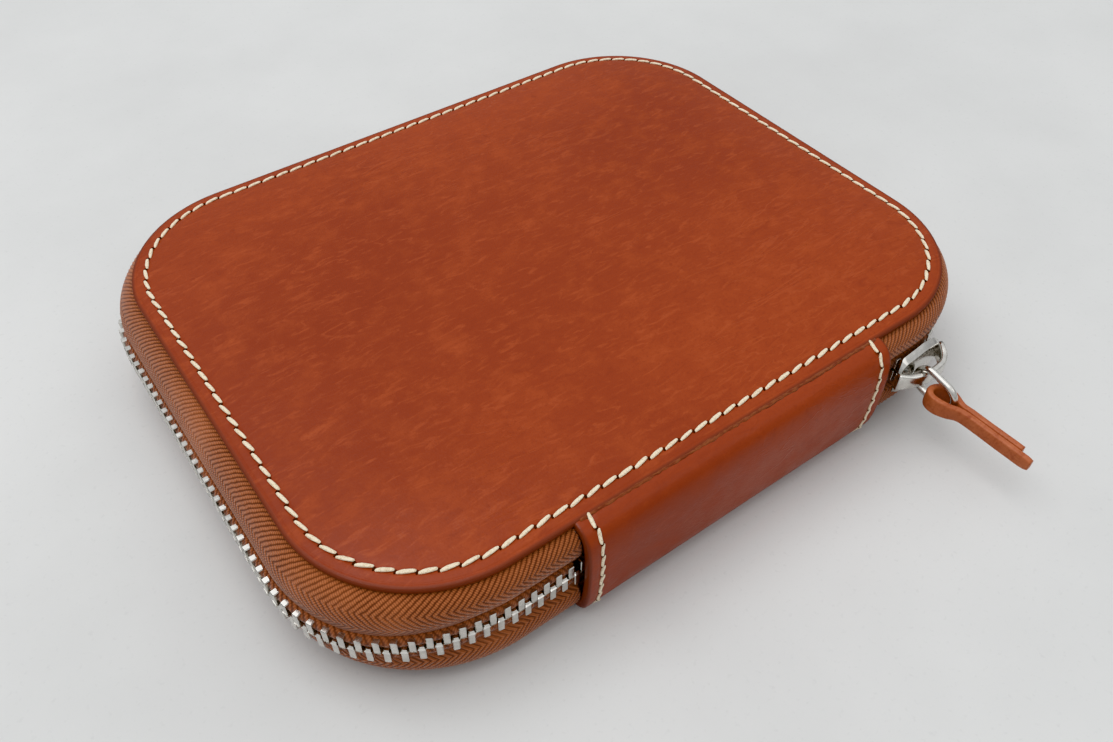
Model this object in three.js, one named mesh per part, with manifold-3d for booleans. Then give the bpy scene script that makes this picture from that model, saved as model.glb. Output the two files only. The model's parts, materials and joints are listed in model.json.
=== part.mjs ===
// Zip-around wallet, closed, lying on its back panel.
// Millimetres, +Z up. The origin is the centre of the underside, +X runs along the long side,
// and the leather spine is on the -Y side, where the two halves are hinged together.

import * as THREE from 'three';
import { mergeVertices } from 'three/addons/utils/BufferGeometryUtils.js';
import Module from 'manifold-3d';

const wasm = await Module();
wasm.setup();

// ---------------------------------------------------------------- driving dimensions

const GAP = 0.3; // clearance between pieces that touch on the real object

// panels
const PANEL_LENGTH = 148;
const PANEL_WIDTH = 118;
const CORNER_RADIUS = 27;
const EDGE_HEIGHT = 25.3; // top edge of the upper panel
const EDGE_LIFT = 0.7; // lower edge of the lower panel, which curls up from the table
const TOP_CROWN = 1.8;
const TOP_CROWN_REACH = 25;
const BOTTOM_CROWN_REACH = 10;
const COVER_THICKNESS = 1.3;
const SKIVE = 0.5; // the hollow side is this much larger, which thins the cover towards its edge
const LINING_THICKNESS = 0.7;
const LINING_INSET = 0.8;
const PADDING_INSET = 8.5;
const CORNER_STEPS = 6; // facets round each corner

// saddle stitching
const STITCH_INSET = 3;
const THREAD_WIDTH = 0.85;
const THREAD_HEIGHT = 0.55;
const GROOVE_WIDTH = 1.45;
const GROOVE_DEPTH = 0.55;
const GROOVE_LEVEL = 0.44; // share of the crown already reached at the stitch line
const THREAD_CLEARANCE = 0.1; // under the thread, above the floor of its groove

// zip
const TAPE_THICKNESS = 0.8;
const TAPE_FLANGE = 6.8; // sewn in between cover and lining
const TAPE_BULGE = 2.2; // how far the tape swells beyond the panel edge
const CHAIN_OFFSET = 0.9; // centre of the teeth beyond the panel edge
const CHAIN_HEIGHT = 7.2; // both rows together
const TOOTH_PITCH = 2.54;
const TOOTH_LENGTH = 0.95; // along the chain
const TOOTH_DEPTH = 2.1; // from inside to outside
const TOOTH_OVERLAP = 1.2; // how far the two rows reach past each other
const TOOTH_CORD_MARGIN = 0.2; // the cord stands this far out past the teeth on each side
const TOOTH_CORD_HEIGHT = 0.8;
const CHAIN_TUCK = 4; // how far the chain runs in behind the spine's left end
const CHAIN_END_SETBACK = 0.8; // from where the right-hand corner begins to the chain's end
const STOP_LENGTH = 1.4;
const STOP_OVERHANG = 1.6; // how far a stop reaches over the middle plane

// spine
const SPINE_LEFT_SETBACK = 12; // from where the left-hand corner begins
const SPINE_RIGHT_SETBACK = 9; // from where the right-hand corner begins, to clear the slider
const SPINE_BULGE = 4.6;
const SPINE_THICKNESS = 1.8;
const SPINE_ROUND = 3.6; // outer radius where the spine rolls over to the panels
const SPINE_DROP = 0.2; // how far the spine's edges lie below the panels' edges
const SPINE_LINING_THICKNESS = 0.6;
const SPINE_LINING_MARGIN = 8; // kept back from each end, where the tape ends are
const SPINE_STITCH_INSET = 2.8;

// slider
const SLIDER_ANGLE = 5; // degrees round the corner from the long side
const SLIDER_LENGTH = 14;
const SLIDER_HEIGHT = 9.6;
const SLIDER_TAIL_HEIGHT = 7.4;
const SLIDER_PLATE = 1.3;
const SLIDER_CLEARANCE = 0.45; // outside of the teeth to the front plate
const SLIDER_BOW = 0.65; // extra room behind, because the chain curves away
const SLIDER_LIP_HEIGHT = 0.8;
const SLIDER_LIP_REACH = 0.6;
const SLIDER_LIP_LENGTH = 10;
const SLIDER_LIP_SETBACK = 0.2; // the lips stay this far inside the plates' outer faces
const SLIDER_LIP_SHIFT = -1.4; // the lips sit nearer the wide end
const SLIDER_SHOULDER = 2.1; // from the middle to where the plates begin to narrow
const SLIDER_ROUND = 2.8; // rounding at the wide end
const SLIDER_TAIL_ROUND = 2.2; // rounding at the narrow end
const BAIL_SPAN = 15.2;
const BAIL_RISE = 3.7;
const BAIL_HEIGHT = 3;
const BAIL_EYE_SPAN = 9.6;
const BAIL_EYE_RISE = 2.6;

// pull
const RING_WIRE = 1.5;
const RING_REACH = 9.2; // from the wire in the bail to the wire in the tab
const RING_GAP = 4.2; // clear height inside the ring
const RING_CORNER = 1.2; // radius inside its corners
const RING_CHAMFER = 0.45;
const RING_PLAY = 0.1; // added to the clearance between ring and slider
const RING_RAISE = 0.5; // above the slider's middle
const RING_SHIFT = -1.8; // along the slider from its middle
const RING_TILT = 12; // degrees down towards the tab
const TAB_LEATHER = 1.4;
const TAB_HEIGHT = 3;
const TAB_LOOP_RADIUS = 2.9;
const TAB_LOOP_SETBACK = 1.9; // centre of the loop, back from the ring's outer wire
const TAB_LENGTH = 16;
const TAB_POINT = 0.4; // the end's blunt point
const TAB_PINCH = 3.6; // from the loop's centre to where the two layers meet
const TAB_CHEEK = 1.8; // from the loop's centre to the bend of its sides
const TAB_TILT = 4; // degrees down towards its end

// pockets
const POCKET_THICKNESS = 1;
const POCKET_EDGE_MARGIN = 13; // from the panel's edge to the sewn edge that all pockets share
const CARD_POCKET_SIDE_MARGIN = 22;
const CARD_POCKET_TOP_MARGIN = 17;
const CARD_POCKET_STEP = 18; // how much lower each pocket is than the one behind it
const SLIP_POCKET_SIDE_MARGIN = 13;
const SLIP_POCKET_TOP_MARGIN = 27;

// ---------------------------------------------------------------- derived places

const MIDDLE = (EDGE_HEIGHT + EDGE_LIFT) / 2;
const HALF_LENGTH = PANEL_LENGTH / 2;
const HALF_WIDTH = PANEL_WIDTH / 2;
const CORNER_X = HALF_LENGTH - CORNER_RADIUS;
const CORNER_Y = HALF_WIDTH - CORNER_RADIUS;
const SPINE_LEFT = -CORNER_X + SPINE_LEFT_SETBACK;
const SPINE_RIGHT = CORNER_X - SPINE_RIGHT_SETBACK;
const CHAIN_START = SPINE_LEFT + CHAIN_TUCK;
const CHAIN_END = CORNER_X - CHAIN_END_SETBACK;
const TOOTH_CORD_WIDTH = TOOTH_DEPTH + 2 * TOOTH_CORD_MARGIN;
const FLANGE_TOP = EDGE_HEIGHT - COVER_THICKNESS;
const FLANGE_BOTTOM = FLANGE_TOP - TAPE_THICKNESS;
const LINING_TOP = FLANGE_BOTTOM - GAP;
const LINING_BOTTOM = LINING_TOP - LINING_THICKNESS;
const TEETH_TOP = MIDDLE + CHAIN_HEIGHT / 2 - TOOTH_OVERLAP / 2;
const TEETH_TIP = MIDDLE - TOOTH_OVERLAP / 2;
const SPINE_SEAM_TRIM = SPINE_BULGE - SPINE_ROUND - GAP; // where its seams begin, beyond the panel edge
const FRONT_FACE = TOOTH_CORD_WIDTH / 2 + SLIDER_CLEARANCE; // inner side of the slider's front plate
const FRONT_OUTSIDE = FRONT_FACE + SLIDER_PLATE;
const BACK_FACE = FRONT_FACE + SLIDER_BOW;
const BAIL_FOOT = FRONT_OUTSIDE + GAP;

// ---------------------------------------------------------------- materials

const leather = () => new THREE.MeshStandardMaterial({ color: 0x9c4a29, roughness: 0.45, metalness: 0 });
const innerLeather = () => new THREE.MeshStandardMaterial({ color: 0xb98a63, roughness: 0.7, metalness: 0 });
const padding = () => new THREE.MeshStandardMaterial({ color: 0xcfc6b4, roughness: 0.95, metalness: 0 });
const tapeCloth = () => new THREE.MeshStandardMaterial({ color: 0x8a5333, roughness: 0.85, metalness: 0 });
const thread = () => new THREE.MeshStandardMaterial({ color: 0xeee0c4, roughness: 0.7, metalness: 0 });
const nickel = () => new THREE.MeshStandardMaterial({ color: 0xc9c7c0, roughness: 0.22, metalness: 1 });
const tabLeather = () => new THREE.MeshStandardMaterial({ color: 0xb06c4e, roughness: 0.5, metalness: 0 });

// ---------------------------------------------------------------- solids

function toSolid(geometry) {
  const bare = geometry.clone();
  bare.deleteAttribute('normal');
  bare.deleteAttribute('uv');
  const merged = mergeVertices(bare, 1e-4);
  return new wasm.Manifold(new wasm.Mesh({
    numProp: 3,
    vertProperties: new Float32Array(merged.attributes.position.array),
    triVerts: new Uint32Array(merged.index.array),
  }));
}

function toGeometry(solid) {
  const mesh = solid.getMesh();
  const geometry = new THREE.BufferGeometry();
  geometry.setAttribute('position', new THREE.BufferAttribute(new Float32Array(mesh.vertProperties), 3));
  geometry.setIndex(new THREE.BufferAttribute(new Uint32Array(mesh.triVerts), 1));
  geometry.computeVertexNormals();
  return geometry;
}

const cut = (body, ...tools) => (
  toGeometry(tools.reduce((solid, tool) => solid.subtract(toSolid(tool)), toSolid(body)))
);
const common = (a, b) => toGeometry(toSolid(a).intersect(toSolid(b)));
const join = (...pieces) => toGeometry(pieces.map(toSolid).reduce((a, b) => a.add(b)));

// The same piece on the other side of the middle plane, with its faces still pointing out.
function mirrored(geometry) {
  const copy = geometry.index ? geometry.clone() : mergeVertices(geometry);
  const position = copy.attributes.position;
  for (let i = 0; i < position.count; i++) {
    position.setZ(i, 2 * MIDDLE - position.getZ(i));
  }
  const index = copy.index.array;
  for (let i = 0; i < index.length; i += 3) {
    [index[i], index[i + 1]] = [index[i + 1], index[i]];
  }
  copy.computeVertexNormals();
  return copy;
}

// ---------------------------------------------------------------- outlines

// The panel's outline, moved outwards by offset.
function panelOutline(offset) {
  const x = HALF_LENGTH + offset;
  const y = HALF_WIDTH + offset;
  const r = CORNER_RADIUS + offset;
  const outline = new THREE.Shape();
  outline.moveTo(-CORNER_X, -y);
  outline.lineTo(CORNER_X, -y);
  outline.absarc(CORNER_X, -CORNER_Y, r, -Math.PI / 2, 0, false);
  outline.lineTo(x, CORNER_Y);
  outline.absarc(CORNER_X, CORNER_Y, r, 0, Math.PI / 2, false);
  outline.lineTo(-CORNER_X, y);
  outline.absarc(-CORNER_X, CORNER_Y, r, Math.PI / 2, Math.PI, false);
  outline.lineTo(-x, -CORNER_Y);
  outline.absarc(-CORNER_X, -CORNER_Y, r, Math.PI, 1.5 * Math.PI, false);
  return outline;
}

// An ellipse curve is sampled twice as finely as curveSegments says.
const cornerFacets = { curveSegments: CORNER_STEPS / 2, bevelEnabled: false };

function sheet(offset, low, high) {
  return new THREE.ExtrudeGeometry(panelOutline(offset), { ...cornerFacets, depth: high - low })
    .translate(0, 0, low);
}

function frameSheet(outer, inner, low, high) {
  const outline = panelOutline(outer);
  outline.holes.push(panelOutline(inner));
  return new THREE.ExtrudeGeometry(outline, { ...cornerFacets, depth: high - low }).translate(0, 0, low);
}

// A thick block whose upper and lower faces swell by crown; edge is the height of its upper edge.
function domedBlock(offset, edge, crown, reach) {
  const depth = MIDDLE;
  return new THREE.ExtrudeGeometry(panelOutline(offset), {
    ...cornerFacets,
    depth,
    bevelEnabled: true,
    bevelThickness: crown,
    bevelSize: reach,
    bevelOffset: -reach,
    bevelSegments: 3,
  }).translate(0, 0, edge - depth);
}

// ---------------------------------------------------------------- panels

function cover(crown, reach) {
  const skin = domedBlock(0, EDGE_HEIGHT, crown, reach);
  const hollow = domedBlock(SKIVE, EDGE_HEIGHT - COVER_THICKNESS, crown, reach);
  const grooveFloor = EDGE_HEIGHT + crown * GROOVE_LEVEL - GROOVE_DEPTH;
  const groove = frameSheet(
    -STITCH_INSET + GROOVE_WIDTH / 2,
    -STITCH_INSET - GROOVE_WIDTH / 2,
    grooveFloor,
    EDGE_HEIGHT + 2 * crown,
  );
  return cut(skin, hollow, groove);
}

function stitching(crown) {
  const low = EDGE_HEIGHT + crown * GROOVE_LEVEL - GROOVE_DEPTH + THREAD_CLEARANCE;
  return frameSheet(
    -STITCH_INSET + THREAD_WIDTH / 2,
    -STITCH_INSET - THREAD_WIDTH / 2,
    low,
    low + THREAD_HEIGHT,
  );
}

function padded(crown, reach) {
  const ceiling = domedBlock(0, EDGE_HEIGHT - COVER_THICKNESS - GAP, crown, reach);
  return common(ceiling, sheet(-PADDING_INSET, FLANGE_BOTTOM, EDGE_HEIGHT + 2 * crown));
}

// ---------------------------------------------------------------- zip

// Stations along the zip, from behind the spine's left end, clockwise round to its right end.
// Each has a point on the panel's edge and the outward direction there.
function zipStations(startX, endX) {
  const stations = [];
  const add = (x, y, angle) => stations.push({ x, y, nx: Math.cos(angle), ny: Math.sin(angle) });
  const corner = (cx, cy, from) => {
    for (let i = 0; i <= CORNER_STEPS; i++) {
      const angle = from - (i / CORNER_STEPS) * Math.PI / 2;
      add(cx + CORNER_RADIUS * Math.cos(angle), cy + CORNER_RADIUS * Math.sin(angle), angle);
    }
  };
  add(startX, -HALF_WIDTH, -Math.PI / 2);
  corner(-CORNER_X, -CORNER_Y, -Math.PI / 2);
  corner(-CORNER_X, CORNER_Y, Math.PI);
  corner(CORNER_X, CORNER_Y, Math.PI / 2);
  corner(CORNER_X, -CORNER_Y, 0);
  add(endX, -HALF_WIDTH, -Math.PI / 2);
  return stations;
}

// A section drawn as (distance beyond the panel edge, height), carried along the stations.
function alongZip(section, startX, endX) {
  const stations = zipStations(startX, endX);
  const steps = stations.length - 1;
  const geometry = new THREE.ExtrudeGeometry(section, {
    depth: steps,
    steps,
    curveSegments: 3,
    bevelEnabled: false,
  });
  const position = geometry.attributes.position;
  for (let i = 0; i < position.count; i++) {
    const { x, y, nx, ny } = stations[Math.round(position.getZ(i))];
    const outward = position.getX(i);
    const height = position.getY(i);
    position.setXYZ(i, x + nx * outward, y + ny * outward, height);
  }
  geometry.computeVertexNormals();
  return geometry;
}

// A ribbon of even thickness along a chain of points.
function ribbon(points, thickness) {
  const spine = new THREE.SplineCurve(points.map(([x, y]) => new THREE.Vector2(x, y)));
  const sides = [[], []];
  for (let i = 0; i < points.length; i++) {
    const t = i / (points.length - 1);
    const tangent = spine.getTangent(t);
    const normal = new THREE.Vector2(-tangent.y, tangent.x).multiplyScalar(thickness / 2);
    sides[0].push(spine.getPoint(t).add(normal));
    sides[1].unshift(spine.getPoint(t).sub(normal));
  }
  return new THREE.Shape([...sides[0], ...sides[1]]);
}

function zipTape() {
  const flange = FLANGE_BOTTOM + TAPE_THICKNESS / 2 - GAP / 2;
  const edge = TEETH_TOP + GAP;
  const hang = flange - edge;
  const section = ribbon([
    [-TAPE_FLANGE, flange],
    [-TAPE_THICKNESS / 2, flange],
    [0.6 * TAPE_BULGE, flange - 0.12 * hang],
    [TAPE_BULGE, flange - 0.36 * hang],
    [0.95 * TAPE_BULGE, flange - 0.58 * hang],
    [CHAIN_OFFSET + TAPE_THICKNESS / 2, flange - 0.78 * hang],
    [CHAIN_OFFSET, edge],
  ], TAPE_THICKNESS);
  return alongZip(section, SPINE_LEFT - GAP, SPINE_RIGHT + GAP);
}

// The line down the middle of the chain, with the same facets as the cord.
function chainPath() {
  const points = zipStations(CHAIN_START, CHAIN_END).map(({ x, y, nx, ny }) => (
    new THREE.Vector2(x + nx * CHAIN_OFFSET, y + ny * CHAIN_OFFSET)
  ));
  return new THREE.Path(points);
}

// One row: the cord along the tape's edge with every tooth hanging from it.
// shift moves the teeth along the chain, as a share of the pitch.
function toothRow(shift) {
  const cord = new THREE.Shape([
    new THREE.Vector2(CHAIN_OFFSET - TOOTH_CORD_WIDTH / 2, TEETH_TOP - TOOTH_CORD_HEIGHT),
    new THREE.Vector2(CHAIN_OFFSET + TOOTH_CORD_WIDTH / 2, TEETH_TOP - TOOTH_CORD_HEIGHT),
    new THREE.Vector2(CHAIN_OFFSET + TOOTH_CORD_WIDTH / 2, TEETH_TOP),
    new THREE.Vector2(CHAIN_OFFSET - TOOTH_CORD_WIDTH / 2, TEETH_TOP),
  ]);
  const path = chainPath();
  const length = path.getLength();
  const count = Math.floor((length - TOOTH_LENGTH) / TOOTH_PITCH - shift);
  const toothHeight = TEETH_TOP - TEETH_TIP - TOOTH_CORD_HEIGHT / 2;
  const teeth = [];
  for (let i = 0; i <= count; i++) {
    const u = (TOOTH_LENGTH / 2 + (i + shift) * TOOTH_PITCH) / length;
    const place = path.getPointAt(u);
    const direction = path.getTangentAt(u);
    const tooth = new THREE.BoxGeometry(TOOTH_LENGTH, TOOTH_DEPTH, toothHeight)
      .rotateZ(Math.atan2(direction.y, direction.x))
      .translate(place.x, place.y, TEETH_TIP + toothHeight / 2);
    teeth.push(toSolid(tooth));
  }
  const row = wasm.Manifold.union([toSolid(alongZip(cord, CHAIN_START, CHAIN_END)), ...teeth]);
  return toGeometry(row);
}

// A stop clamped on the end of a row; it reaches past the middle plane by overhang.
function stop(centreX, overhang) {
  const low = MIDDLE - overhang;
  return new THREE.BoxGeometry(STOP_LENGTH, TOOTH_DEPTH, TEETH_TOP - low)
    .translate(centreX, -HALF_WIDTH - CHAIN_OFFSET, (TEETH_TOP + low) / 2);
}

// ---------------------------------------------------------------- spine

// A closed C-shaped section between two depths below the spine's outer surface.
function spineSection(outer, inner, trim) {
  const top = EDGE_HEIGHT - SPINE_DROP;
  const bottom = EDGE_LIFT + SPINE_DROP;
  const centre = SPINE_BULGE - SPINE_ROUND;
  const section = new THREE.Shape();
  section.moveTo(trim, top - outer);
  section.lineTo(centre, top - outer);
  section.absarc(centre, top - SPINE_ROUND, SPINE_ROUND - outer, Math.PI / 2, 0, true);
  section.absarc(centre, bottom + SPINE_ROUND, SPINE_ROUND - outer, 0, -Math.PI / 2, true);
  section.lineTo(trim, bottom + outer);
  section.lineTo(trim, bottom + inner);
  section.lineTo(centre, bottom + inner);
  section.absarc(centre, bottom + SPINE_ROUND, SPINE_ROUND - inner, -Math.PI / 2, 0, false);
  section.absarc(centre, top - SPINE_ROUND, SPINE_ROUND - inner, 0, Math.PI / 2, false);
  section.lineTo(trim, top - inner);
  return section;
}

// Sweeps a section drawn as (beyond the panel edge, height) between two places along X.
function alongX(section, left, right) {
  const basis = new THREE.Matrix4().makeBasis(
    new THREE.Vector3(0, -1, 0),
    new THREE.Vector3(0, 0, 1),
    new THREE.Vector3(-1, 0, 0),
  );
  return new THREE.ExtrudeGeometry(section, { depth: right - left, curveSegments: 3, bevelEnabled: false })
    .applyMatrix4(basis)
    .translate(right, -HALF_WIDTH, 0);
}

const stitchSeams = [SPINE_LEFT + SPINE_STITCH_INSET, SPINE_RIGHT - SPINE_STITCH_INSET];

function spineStrip() {
  const strip = alongX(spineSection(0, SPINE_THICKNESS, GAP), SPINE_LEFT, SPINE_RIGHT);
  const grooves = stitchSeams.map((x) => alongX(
    spineSection(-GROOVE_DEPTH, GROOVE_DEPTH, SPINE_SEAM_TRIM),
    x - GROOVE_WIDTH / 2,
    x + GROOVE_WIDTH / 2,
  ));
  return cut(strip, ...grooves);
}

function spineThread(x) {
  const underside = GROOVE_DEPTH - THREAD_CLEARANCE;
  return alongX(
    spineSection(underside - THREAD_HEIGHT, underside, SPINE_SEAM_TRIM + THREAD_CLEARANCE),
    x - THREAD_WIDTH / 2,
    x + THREAD_WIDTH / 2,
  );
}

function spineLining() {
  const outer = SPINE_THICKNESS + GAP;
  return alongX(
    spineSection(outer, outer + SPINE_LINING_THICKNESS, 2 * GAP),
    SPINE_LEFT + SPINE_LINING_MARGIN + GAP,
    SPINE_RIGHT - SPINE_LINING_MARGIN,
  );
}

// ---------------------------------------------------------------- slider and pull
// Drawn in the slider's own frame: X along the chain, -Y outwards, Z up, origin in the chain's centre.

// Raises a shape drawn in X and Z into a plate between two depths, measured outwards.
function plate(shape, inner, outer) {
  return new THREE.ExtrudeGeometry(shape, { depth: outer - inner, curveSegments: 4, bevelEnabled: false })
    .rotateX(Math.PI / 2)
    .translate(0, -inner, 0);
}

function sliderOutline() {
  const end = SLIDER_LENGTH / 2;
  const high = SLIDER_HEIGHT / 2;
  const tail = SLIDER_TAIL_HEIGHT / 2;
  const flat = tail - SLIDER_TAIL_ROUND;
  const outline = new THREE.Shape();
  outline.moveTo(-end, -high + SLIDER_ROUND);
  outline.quadraticCurveTo(-end, -high, -end + SLIDER_ROUND, -high);
  outline.lineTo(SLIDER_SHOULDER, -high);
  outline.quadraticCurveTo(end, -tail, end, -flat);
  outline.lineTo(end, flat);
  outline.quadraticCurveTo(end, tail, SLIDER_SHOULDER, high);
  outline.lineTo(-end + SLIDER_ROUND, high);
  outline.quadraticCurveTo(-end, high, -end, high - SLIDER_ROUND);
  return outline;
}

function lip(side, face, outer) {
  const depth = Math.abs(outer - face);
  return new THREE.BoxGeometry(SLIDER_LIP_LENGTH, depth, SLIDER_LIP_HEIGHT)
    .translate(SLIDER_LIP_SHIFT, -(face + outer) / 2, side * (SLIDER_HEIGHT - SLIDER_LIP_HEIGHT) / 2);
}

function sliderFront() {
  const tip = FRONT_FACE - SLIDER_LIP_REACH;
  return join(
    plate(sliderOutline(), FRONT_FACE, FRONT_OUTSIDE),
    lip(1, tip, FRONT_OUTSIDE - SLIDER_LIP_SETBACK),
    lip(-1, tip, FRONT_OUTSIDE - SLIDER_LIP_SETBACK),
  );
}

function sliderBack() {
  const tip = -(BACK_FACE - SLIDER_LIP_REACH);
  const back = -(BACK_FACE + SLIDER_PLATE);
  return join(
    plate(sliderOutline(), back, -BACK_FACE),
    lip(1, back + SLIDER_LIP_SETBACK, tip),
    lip(-1, back + SLIDER_LIP_SETBACK, tip),
  );
}

// An arch along the slider whose eye takes the pull ring.
function sliderBail() {
  const arch = new THREE.Shape();
  arch.moveTo(-BAIL_SPAN / 2, -BAIL_FOOT);
  arch.quadraticCurveTo(0, -BAIL_FOOT - 2 * BAIL_RISE, BAIL_SPAN / 2, -BAIL_FOOT);
  arch.lineTo(BAIL_EYE_SPAN / 2, -BAIL_FOOT);
  arch.quadraticCurveTo(0, -BAIL_FOOT - 2 * BAIL_EYE_RISE, -BAIL_EYE_SPAN / 2, -BAIL_FOOT);
  return new THREE.ExtrudeGeometry(arch, { depth: BAIL_HEIGHT, curveSegments: 10, bevelEnabled: false })
    .translate(0, 0, -BAIL_HEIGHT / 2);
}

// The wire in the bail is at the origin; the ring reaches outwards along -Y.
function pullRing() {
  const wire = RING_WIRE / 2;
  const inner = RING_GAP / 2;
  const loop = (grow) => {
    const x = RING_REACH + grow - wire;
    const r = RING_CORNER + grow;
    const h = inner + grow;
    const start = wire - grow;
    const shape = new THREE.Shape();
    shape.moveTo(start, -h + r);
    shape.absarc(start + r, -h + r, r, Math.PI, 1.5 * Math.PI, false);
    shape.absarc(x - r, -h + r, r, -Math.PI / 2, 0, false);
    shape.absarc(x - r, h - r, r, 0, Math.PI / 2, false);
    shape.absarc(start + r, h - r, r, Math.PI / 2, Math.PI, false);
    return shape;
  };
  const outline = loop(RING_WIRE - RING_CHAMFER);
  outline.holes.push(loop(RING_CHAMFER));
  return new THREE.ExtrudeGeometry(outline, {
    depth: RING_WIRE - 2 * RING_CHAMFER,
    bevelEnabled: true,
    bevelThickness: RING_CHAMFER,
    bevelSize: RING_CHAMFER,
    bevelSegments: 1,
    curveSegments: 2,
  })
    .translate(0, 0, -RING_WIRE / 2 + RING_CHAMFER)
    .rotateX(Math.PI / 2)
    .rotateZ(-Math.PI / 2);
}

// A folded thong: a loop round the ring's outer wire, then two layers lying together.
// The loop's centre is at the origin and the tab runs outwards along -Y.
function pullTab() {
  const outer = TAB_LOOP_RADIUS;
  const inner = TAB_LOOP_RADIUS - TAB_LEATHER;
  const tab = new THREE.Shape();
  tab.moveTo(TAB_LEATHER, -TAB_PINCH);
  tab.quadraticCurveTo(outer, -TAB_CHEEK, outer, 0);
  tab.absarc(0, 0, outer, 0, Math.PI, false);
  tab.quadraticCurveTo(-outer, -TAB_CHEEK, -TAB_LEATHER, -TAB_PINCH);
  tab.lineTo(-TAB_LEATHER, -TAB_PINCH - TAB_LENGTH);
  tab.lineTo(0, -TAB_PINCH - TAB_LENGTH - TAB_POINT);
  tab.lineTo(TAB_LEATHER, -TAB_PINCH - TAB_LENGTH);
  const eye = new THREE.Path();
  eye.moveTo(inner, 0);
  eye.absarc(0, 0, inner, 0, Math.PI, false);
  eye.quadraticCurveTo(-inner, -TAB_CHEEK, 0, -TAB_PINCH);
  eye.quadraticCurveTo(inner, -TAB_CHEEK, inner, 0);
  tab.holes.push(eye);
  return new THREE.ExtrudeGeometry(tab, { depth: TAB_HEIGHT, curveSegments: 6, bevelEnabled: false })
    .translate(0, 0, -TAB_HEIGHT / 2);
}

// ---------------------------------------------------------------- assembly

const wallet = new THREE.Group();

function addPiece(parent, name, geometry, material) {
  const mesh = new THREE.Mesh(geometry, material);
  mesh.name = name;
  parent.add(mesh);
  return mesh;
}

// upper half, which is the lid
addPiece(wallet, 'top_cover', cover(TOP_CROWN, TOP_CROWN_REACH), leather());
addPiece(wallet, 'top_padding', padded(TOP_CROWN, TOP_CROWN_REACH), padding());
addPiece(wallet, 'top_lining', sheet(-LINING_INSET, LINING_BOTTOM, LINING_TOP), innerLeather());
addPiece(wallet, 'top_stitching', stitching(TOP_CROWN), thread());
addPiece(wallet, 'upper_zip_tape', zipTape(), tapeCloth());
addPiece(wallet, 'upper_zip_teeth', toothRow(0), nickel());

// lower half, which lies on the table
addPiece(wallet, 'bottom_cover', mirrored(cover(EDGE_LIFT, BOTTOM_CROWN_REACH)), leather());
addPiece(wallet, 'bottom_padding', mirrored(padded(EDGE_LIFT, BOTTOM_CROWN_REACH)), padding());
addPiece(wallet, 'bottom_lining', mirrored(sheet(-LINING_INSET, LINING_BOTTOM, LINING_TOP)), innerLeather());
addPiece(wallet, 'bottom_stitching', mirrored(stitching(EDGE_LIFT)), thread());
addPiece(wallet, 'lower_zip_tape', mirrored(zipTape()), tapeCloth());
addPiece(wallet, 'lower_zip_teeth', mirrored(toothRow(0.5)), nickel());

// stops at the ends of the rows
const topStopX = CHAIN_END - GAP - STOP_LENGTH / 2;
const bottomStopX = CHAIN_START + GAP + STOP_LENGTH / 2;
addPiece(wallet, 'upper_top_stop', stop(topStopX, -GAP), nickel());
addPiece(wallet, 'lower_top_stop', mirrored(stop(topStopX, -GAP)), nickel());
addPiece(wallet, 'bottom_stop', mirrored(stop(bottomStopX, STOP_OVERHANG)), nickel());

// pockets
const pocketEdge = -HALF_WIDTH + POCKET_EDGE_MARGIN;
const cardPocketLength = PANEL_LENGTH - 2 * CARD_POCKET_SIDE_MARGIN;
let pocketDepth = PANEL_WIDTH - POCKET_EDGE_MARGIN - CARD_POCKET_TOP_MARGIN;
let pocketLevel = 2 * MIDDLE - LINING_BOTTOM + GAP;
for (const name of ['card_pocket_back', 'card_pocket_middle', 'card_pocket_front']) {
  const pocket = new THREE.BoxGeometry(cardPocketLength, pocketDepth, POCKET_THICKNESS);
  const mesh = addPiece(wallet, name, pocket, innerLeather());
  mesh.position.set(0, pocketEdge + pocketDepth / 2, pocketLevel + POCKET_THICKNESS / 2);
  pocketLevel += POCKET_THICKNESS + GAP;
  pocketDepth -= CARD_POCKET_STEP;
}
const slipLength = PANEL_LENGTH - 2 * SLIP_POCKET_SIDE_MARGIN;
const slipDepth = PANEL_WIDTH - POCKET_EDGE_MARGIN - SLIP_POCKET_TOP_MARGIN;
const slipPocket = new THREE.BoxGeometry(slipLength, slipDepth, POCKET_THICKNESS);
addPiece(wallet, 'slip_pocket', slipPocket, innerLeather())
  .position.set(0, pocketEdge + slipDepth / 2, LINING_BOTTOM - GAP - POCKET_THICKNESS / 2);

// spine
addPiece(wallet, 'spine_strip', spineStrip(), leather());
addPiece(wallet, 'spine_lining', spineLining(), innerLeather());
addPiece(wallet, 'spine_stitching_left', spineThread(stitchSeams[0]), thread());
addPiece(wallet, 'spine_stitching_right', spineThread(stitchSeams[1]), thread());

// slider, a few degrees round the right-hand front corner
const sliderAngle = THREE.MathUtils.degToRad(SLIDER_ANGLE);
const chainRadius = CORNER_RADIUS + CHAIN_OFFSET;
const slider = new THREE.Group();
slider.position.set(
  CORNER_X + chainRadius * Math.sin(sliderAngle),
  -CORNER_Y - chainRadius * Math.cos(sliderAngle),
  MIDDLE,
);
slider.rotation.z = sliderAngle;
wallet.add(slider);
addPiece(slider, 'slider_front', sliderFront(), nickel());
addPiece(slider, 'slider_back', sliderBack(), nickel());
addPiece(slider, 'slider_bail', sliderBail(), nickel());

// the ring hangs in the bail and points straight away from the long side
const ringPivot = new THREE.Group();
const ringStandoff = GAP + RING_PLAY + RING_WIRE / 2;
ringPivot.position.set(RING_SHIFT, -FRONT_OUTSIDE - ringStandoff, RING_RAISE);
ringPivot.rotation.z = -sliderAngle;
slider.add(ringPivot);
const ringTilt = THREE.MathUtils.degToRad(RING_TILT);
addPiece(ringPivot, 'pull_ring', pullRing(), nickel()).rotation.x = ringTilt;

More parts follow.
